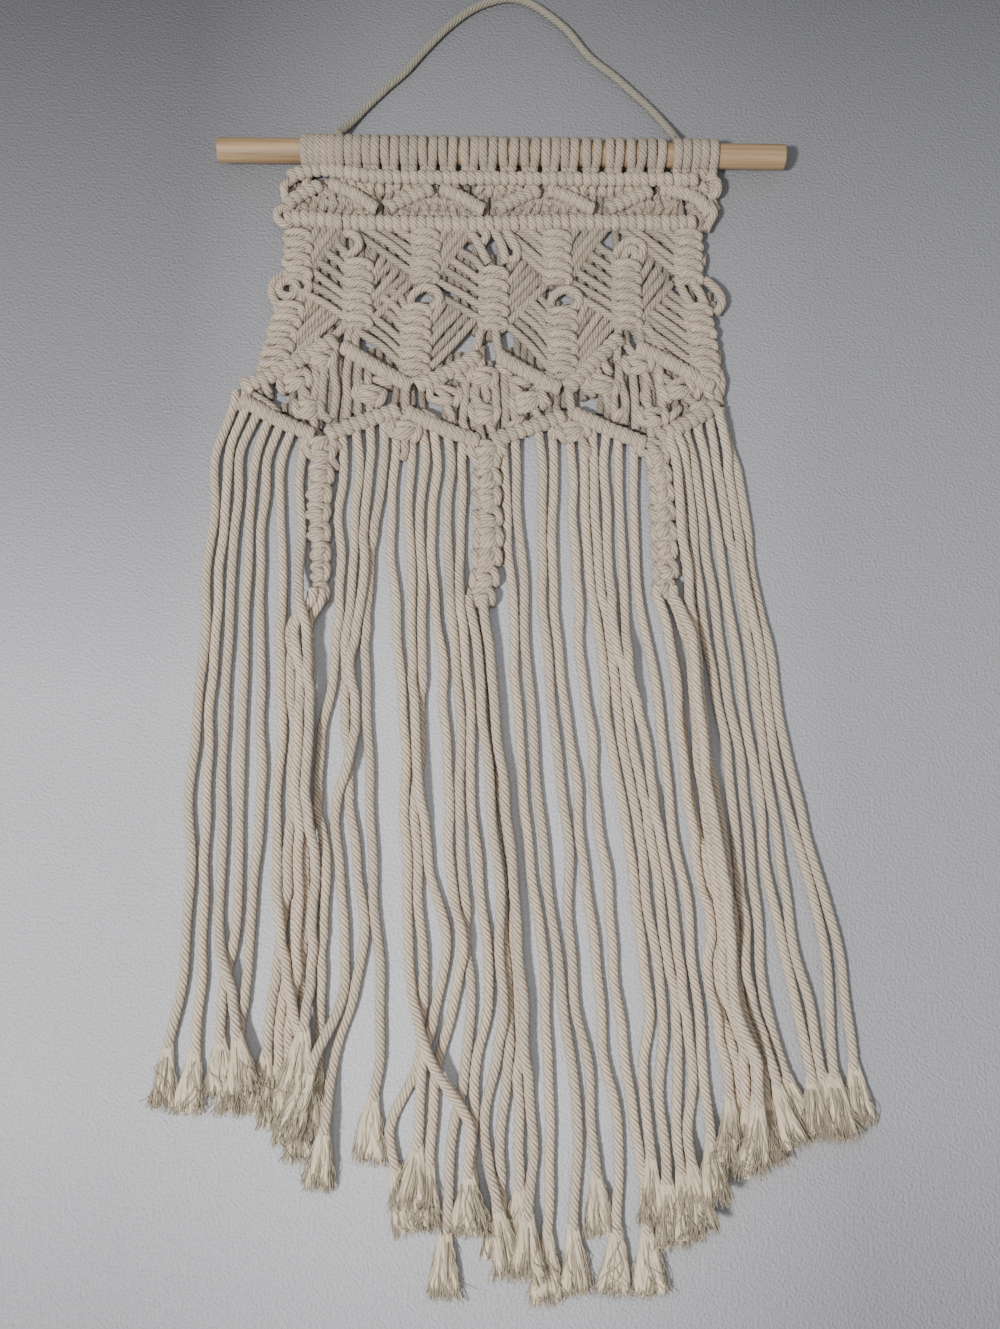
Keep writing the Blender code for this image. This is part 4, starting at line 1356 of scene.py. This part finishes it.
UPRIGHTS = [
    # Places (x, drop, height) along each cord.
    ((-95, 122, 4), (-94, 132, 4.8), (-96, 143, 4)),
    ((-85, 113, 4), (-86, 124, 4.8), (-84, 137, 4.8), (-85, 152, 4)),
    ((-78, 115, 4), (-79, 128, 4.8), (-78, 140, 4.8), (-78, 152, 4)),
    ((-73, 120, 4), (-73, 133, 4.5), (-72, 150, 4)), ((-90, 122, 4), (-91, 130, 5), (-91, 150, 4)),
    ((-77, 98, 4), (-79, 105, 4.8), (-79, 112, 5)), ((-73, 98, 4), (-75, 106, 4.8), (-75, 114, 5)),
    ((-80, 98, 4), (-85, 104, 4.8), (-89, 110, 5), (-89, 118, 4)),
    ((-17, 122, 4), (-17, 136, 4.8), (-18, 152, 4)), ((-11, 130, 4), (-12, 142, 4.8), (-12, 156, 4)),
    ((-2, 130, 4), (-1, 142, 4.8), (-3, 156, 4)), ((3, 126, 4), (4, 142, 4.8), (4, 156, 4)),
    ((8, 130, 4), (8, 144, 4.8), (10, 155, 4)),
    ((-7, 97, 4), (-10, 103, 5), (-11, 109, 5), (-14, 117, 4)),
    ((-2, 97, 4), (-1.5, 104, 5), (-0.5, 110, 5), (2, 118, 4)),
    ((63, 118, 4), (63, 128, 4.8), (66, 140, 4.8), (65, 153, 4)),
    ((70, 126, 4), (71, 140, 4.8), (71, 156, 4)), ((77, 128, 4), (77, 136, 4.8), (78, 144, 4)),
    ((82, 118, 4), (84, 134, 4.8), (86, 150, 4)), ((60, 136, 3.5), (60, 142, 4.5), (61, 152, 4)),
    ((63, 98, 4), (62, 108, 4.8), (62, 118, 5)), ((73, 98, 4), (74.5, 106, 4.8), (75, 115, 5)),
    ((77, 96, 4), (81, 104, 5), (86, 111, 5)), ((-133, 131, 4), (-131, 138, 5), (-134, 148, 4)),
    ((113, 118, 3), (116, 128, 5), (115, 137, 3)), ((110, 128, 4), (113, 134, 5), (115, 142, 4)),
    ((-50, 128, 4), (-48, 138, 5), (-48, 150, 4)), ((36, 128, 4), (37, 138, 5), (39, 150, 4)),
]
print(len(HUMPS), "humps and", len(UPRIGHTS), "upright cords")


# %% Lay the details
def ring_places(x, drop, radius):
    """A ring that lies at one height and is not quite closed."""
    turn = [math.radians(degrees) for degrees in range(-20, 350, 30)]
    return [(x + radius * math.cos(angle), drop + radius * math.sin(angle), 5.4) for angle in turn]


details = Routes("details_of_the_net", seed=90)
for loop in LOOPS:
    strand(details, *loop, width=4.9)
strand(details, *ring_places(*RING))
for x, drop, half in KNOTS:
    knot(details, x, drop, half, degrees=details.chance.uniform(-22, 22))
for x, drop, degrees in HUMPS:
    length = details.chance.uniform(7.5, 9)
    hump(details, x, drop, degrees, length, top=details.chance.uniform(5.2, 6.6))
for places in UPRIGHTS:
    strand(details, *places)
piece = make_cords(details, knotted_cotton_painted_shade)
join_frame(piece, "panel_cord", "knotted_panel")

# %% Short cords between the level rows
HOLES = [
    # The middle of each small hole and its radius.
    (-64, 28, 2.0), (-5.5, 28, 2.2), (54, 26, 2.0), (-112, 14, 1.6), (-102, 23, 1.8), (-16, 17.5, 1.6),
    (83, 17, 1.6), (98, 26, 1.4),
]
LAYERS = [(2.6, 4.4), (4.0, 5.0)]  # height and pitch of a low layer and of one over it
FIRST_X, LAST_X = -113, 115
UNDER_FIRST_ROW, OVER_SECOND_ROW = 12.0, 33.0
HUMP_PITCH = 6.5
HUMP_REACH = 3.4
SHORTEST = 3
peaks = sorted(place for stretch, _ in SMALL_PEAKS for place in stretch)
peak_x, peak_drop = zip(*peaks)


def in_hole(x, drop):
    for hole_x, hole_drop, size in HOLES:
        if math.hypot(x - hole_x, drop - hole_drop) < size + HUMP_REACH:
            return True
    return False


def short_column(routes, x, start, end, layer, height):
    """Humps one below the other from start to end, each lying its own way."""
    if end - start < SHORTEST:
        return
    count = max(1, round((end - start) / HUMP_PITCH))
    for n in range(count):
        middle = start + (end - start) * (n + 0.5) / count
        if in_hole(x, middle):
            continue
        tilt = 90 + routes.chance.uniform(-40, 40) * (1 + layer) / 2
        lift = max(0.0, 4.0 - (middle - UNDER_FIRST_ROW) * 0.45)  # the first row stands higher
        hump(routes, x, middle, tilt, (end - start) / count + 2.5, top=height + lift, width=4.2)


short_cords = Routes("short_cords_between_rows", seed=95)
for layer, (height, pitch) in enumerate(LAYERS):
    for k in range(round((LAST_X - FIRST_X) / pitch)):
        x = FIRST_X + pitch * (k + 0.5 * layer)
        crest = float(np.interp(x, peak_x, peak_drop))
        short_column(short_cords, x, UNDER_FIRST_ROW, crest - 1.5, layer, height)
        short_column(short_cords, x, crest + 1.5, OVER_SECOND_ROW, layer, height)
piece = make_cords(short_cords, knotted_cotton_painted_shade)
join_frame(piece, "panel_cord", "knotted_panel")

# %% [markdown]
# ## Sennits
# Three short braids of square knots hang from the points of the lower zigzag. Each is eight rounded
# knots, one under another, over two straight cords. Their knotting cords are then let go and join the
# fringe. The left one is flatter on its left, so its knots have a side bump on the right only.

# %% Braid the sennits
SENNITS = {
    # Places (x, drop, half width) down the braid, the tilt of its knots, and which side bumps show.
    "sennit_left": (
        [(-90, 170, 5.5), (-91, 190, 5.4), (-91, 206, 5.0), (-89, 222, 4.2), (-88, 250, 3.2)],
        4, (1,),
    ),
    "sennit_centre": (
        [(-6, 172, 5.6), (-5, 196, 5.6), (-4, 219, 6.0), (-5.5, 234, 5.8), (-8, 252, 5.2)],
        -8, (-1, 1),
    ),
    "sennit_right": (
        [(82, 170, 4.4), (84, 188, 4.4), (84.5, 207, 4.8), (85, 234, 4.8), (83, 246, 4.0)],
        -18, (-1, 1),
    ),
}
SENNIT_KNOTS = 8
STARTS_ABOVE = 4


def braid(name, rows, tilt, bumps, seed):
    """One sennit: square knots over two straight cords, narrowing as the table says."""
    routes = Routes(name + "_braid", seed)
    columns = np.array(rows, float)
    first, last = columns[0, 1] - STARTS_ABOVE, columns[-1, 1]
    pitch = (last - first) / SENNIT_KNOTS
    for k in range(SENNIT_KNOTS):
        drop = first + (k + 0.5) * pitch
        x, half = (np.interp(drop, columns[:, 1], columns[:, n]) for n in (0, 2))
        knot(routes, x, drop, half - 1.2, tilt, width=4.7, tails=False, bumps=bumps)
    for side in (-1, 1):
        strand(routes, *[(x + side * 1.6, drop, 3.2) for x, drop, _ in rows], width=4.4)
    return routes


for number, (name, (rows, tilt, bumps)) in enumerate(SENNITS.items()):
    piece = make_cords(braid(name, rows, tilt, bumps, seed=100 + number), knotted_cotton_painted_shade)
    join_frame(piece, "sennit_cord", name)

# %% [markdown]
# ## The dowel
# A plain, sanded stick of pale softwood. The plain model already has its true shape, so it keeps its
# mesh and gets a finish: fine grain that runs along it, and broader bands that are a little warmer.


# %% Wood
def build_wood():
    finish, tree, surface = new_finish("sanded_softwood")
    place = add(tree, "ShaderNodeTexCoord").outputs["Object"]
    fine = add(tree, "ShaderNodeMapping", {"Vector": place, "Scale": (14.0, 420.0, 420.0)}).outputs[0]
    grain = noise(tree, fine, scale=1.0, detail=5.0, roughness=0.6)
    broad = add(tree, "ShaderNodeMapping", {"Vector": place, "Scale": (3.0, 170.0, 170.0)}).outputs[0]
    rings = noise(tree, broad, scale=1.0, detail=2.0)
    ramp = add(tree, "ShaderNodeValToRGB", {"Fac": grain})
    darkest, lightest = ramp.color_ramp.elements
    darkest.position = 0.3
    darkest.color = (0.22, 0.135, 0.065, 1.0)
    lightest.position = 0.72
    lightest.color = (0.43, 0.29, 0.155, 1.0)
    warmth = map_range(tree, rings, 0.3, 0.7, 0.82, 1.12)
    tree.links.new(scaled(tree, ramp.outputs[0], warmth), surface.inputs["Base Color"])
    bump = add(tree, "ShaderNodeBump", {"Strength": 0.25, "Distance": 0.0003, "Height": grain})
    tree.links.new(bump.outputs[0], surface.inputs["Normal"])
    surface.inputs["Roughness"].default_value = 0.55
    return finish


wood = build_wood()
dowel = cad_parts["dowel"]
for place in range(len(dowel.material_slots)):
    dowel.material_slots[place].material = wood
print("dowel slots:", len(dowel.material_slots))

# %% [markdown]
# ## Surface and light
# A plain pale table top with a fine moulded texture. One soft light stands high at the left, on the
# fringe's side, and a small fill hangs right above, with weak light from all round. The table top is
# darker at its far end, at both sides and at the very front, and those slow changes of light are painted
# into its colour as painted light and shade.

# %% Table top
FLOOR_REACH = 1.6
PAINT = (0.46, 0.46, 0.48, 1.0)


def build_table_top():
    finish, tree, surface = new_finish("pale_table_top")
    place = add(tree, "ShaderNodeTexCoord").outputs["Object"]
    pebbles = noise(tree, place, scale=700.0, detail=2.0)
    bump = add(tree, "ShaderNodeBump", {"Strength": 1.0, "Distance": 0.001, "Height": pebbles})
    tree.links.new(bump.outputs[0], surface.inputs["Normal"])
    sides = add(tree, "ShaderNodeSeparateXYZ", {0: place}).outputs
    # Painted light and shade: the paint is made lighter towards the fringe end and darker at the far
    # end, at both sides and at the very front.
    nearer = map_range(tree, sides["Y"], 0.42, -0.02, 0.27, 1.0)
    far_away = map_range(tree, sides["Y"], 0.6, 1.1, 0.0, 0.5)
    at_the_front = map_range(tree, sides["Y"], -0.21, -0.32, 1.0, 0.7)
    to_the_left = map_range(tree, sides["X"], -0.07, -0.18)
    to_the_right = map_range(tree, sides["X"], 0.02, 0.16)
    left_side = calculate(tree, "MULTIPLY_ADD", nearer, 0.97, -1.13)
    left_side = calculate(tree, "MAXIMUM", left_side, -0.4)
    left = calculate(tree, "MULTIPLY_ADD", left_side, to_the_left, 1.0)
    right_side = calculate(tree, "MULTIPLY", nearer, -0.38)
    right = calculate(tree, "MULTIPLY_ADD", right_side, to_the_right, 1.0)
    shade = calculate(tree, "MULTIPLY_ADD", nearer, left, far_away)
    shade = calculate(tree, "MULTIPLY", calculate(tree, "MULTIPLY", shade, right), at_the_front)
    paint = add(tree, "ShaderNodeRGB").outputs[0]
    paint.default_value = PAINT
    tree.links.new(scaled(tree, paint, shade), surface.inputs["Base Color"])
    surface.inputs["Roughness"].default_value = 0.6
    return finish


corners = [(x * FLOOR_REACH, y * FLOOR_REACH, 0) for x, y in ((-1, -1), (1, -1), (1, 1), (-1, 1))]
top_mesh = bpy.data.meshes.new("table_top")
top_mesh.from_pydata(corners, [], [(0, 1, 2, 3)])
top_mesh.materials.append(build_table_top())
table_top = put_in_scene("table_top", top_mesh)
print("table top:", 2 * FLOOR_REACH, "m each way")


# %% Lights
def soft_light(name, at, towards, size, power):
    """A round soft light at a place (x, drop, z) that shines towards another."""
    lamp = bpy.data.lights.new(name, "AREA")
    lamp.shape = "DISK"
    lamp.size = size
    lamp.energy = power
    made = put_in_scene(name, lamp)
    made.location = in_metres(at)[0]
    made.visible_camera = False
    way = in_metres(towards)[0] - in_metres(at)[0]
    made.rotation_euler = Vector(way).to_track_quat("-Z", "Y").to_euler()


soft_light("key", at=(-840, 1060, 1640), towards=(0, 200, 0), size=0.2, power=56.0)
soft_light("fill", at=(-20, 330, 700), towards=(0, 330, 0), size=0.3, power=1.2)
world = bpy.data.worlds.new("studio")
bpy.context.scene.world = world
world.use_nodes = True
background = world.node_tree.nodes["Background"]
background.inputs["Color"].default_value = (0.95, 0.97, 1.0, 1.0)
background.inputs["Strength"].default_value = 0.41
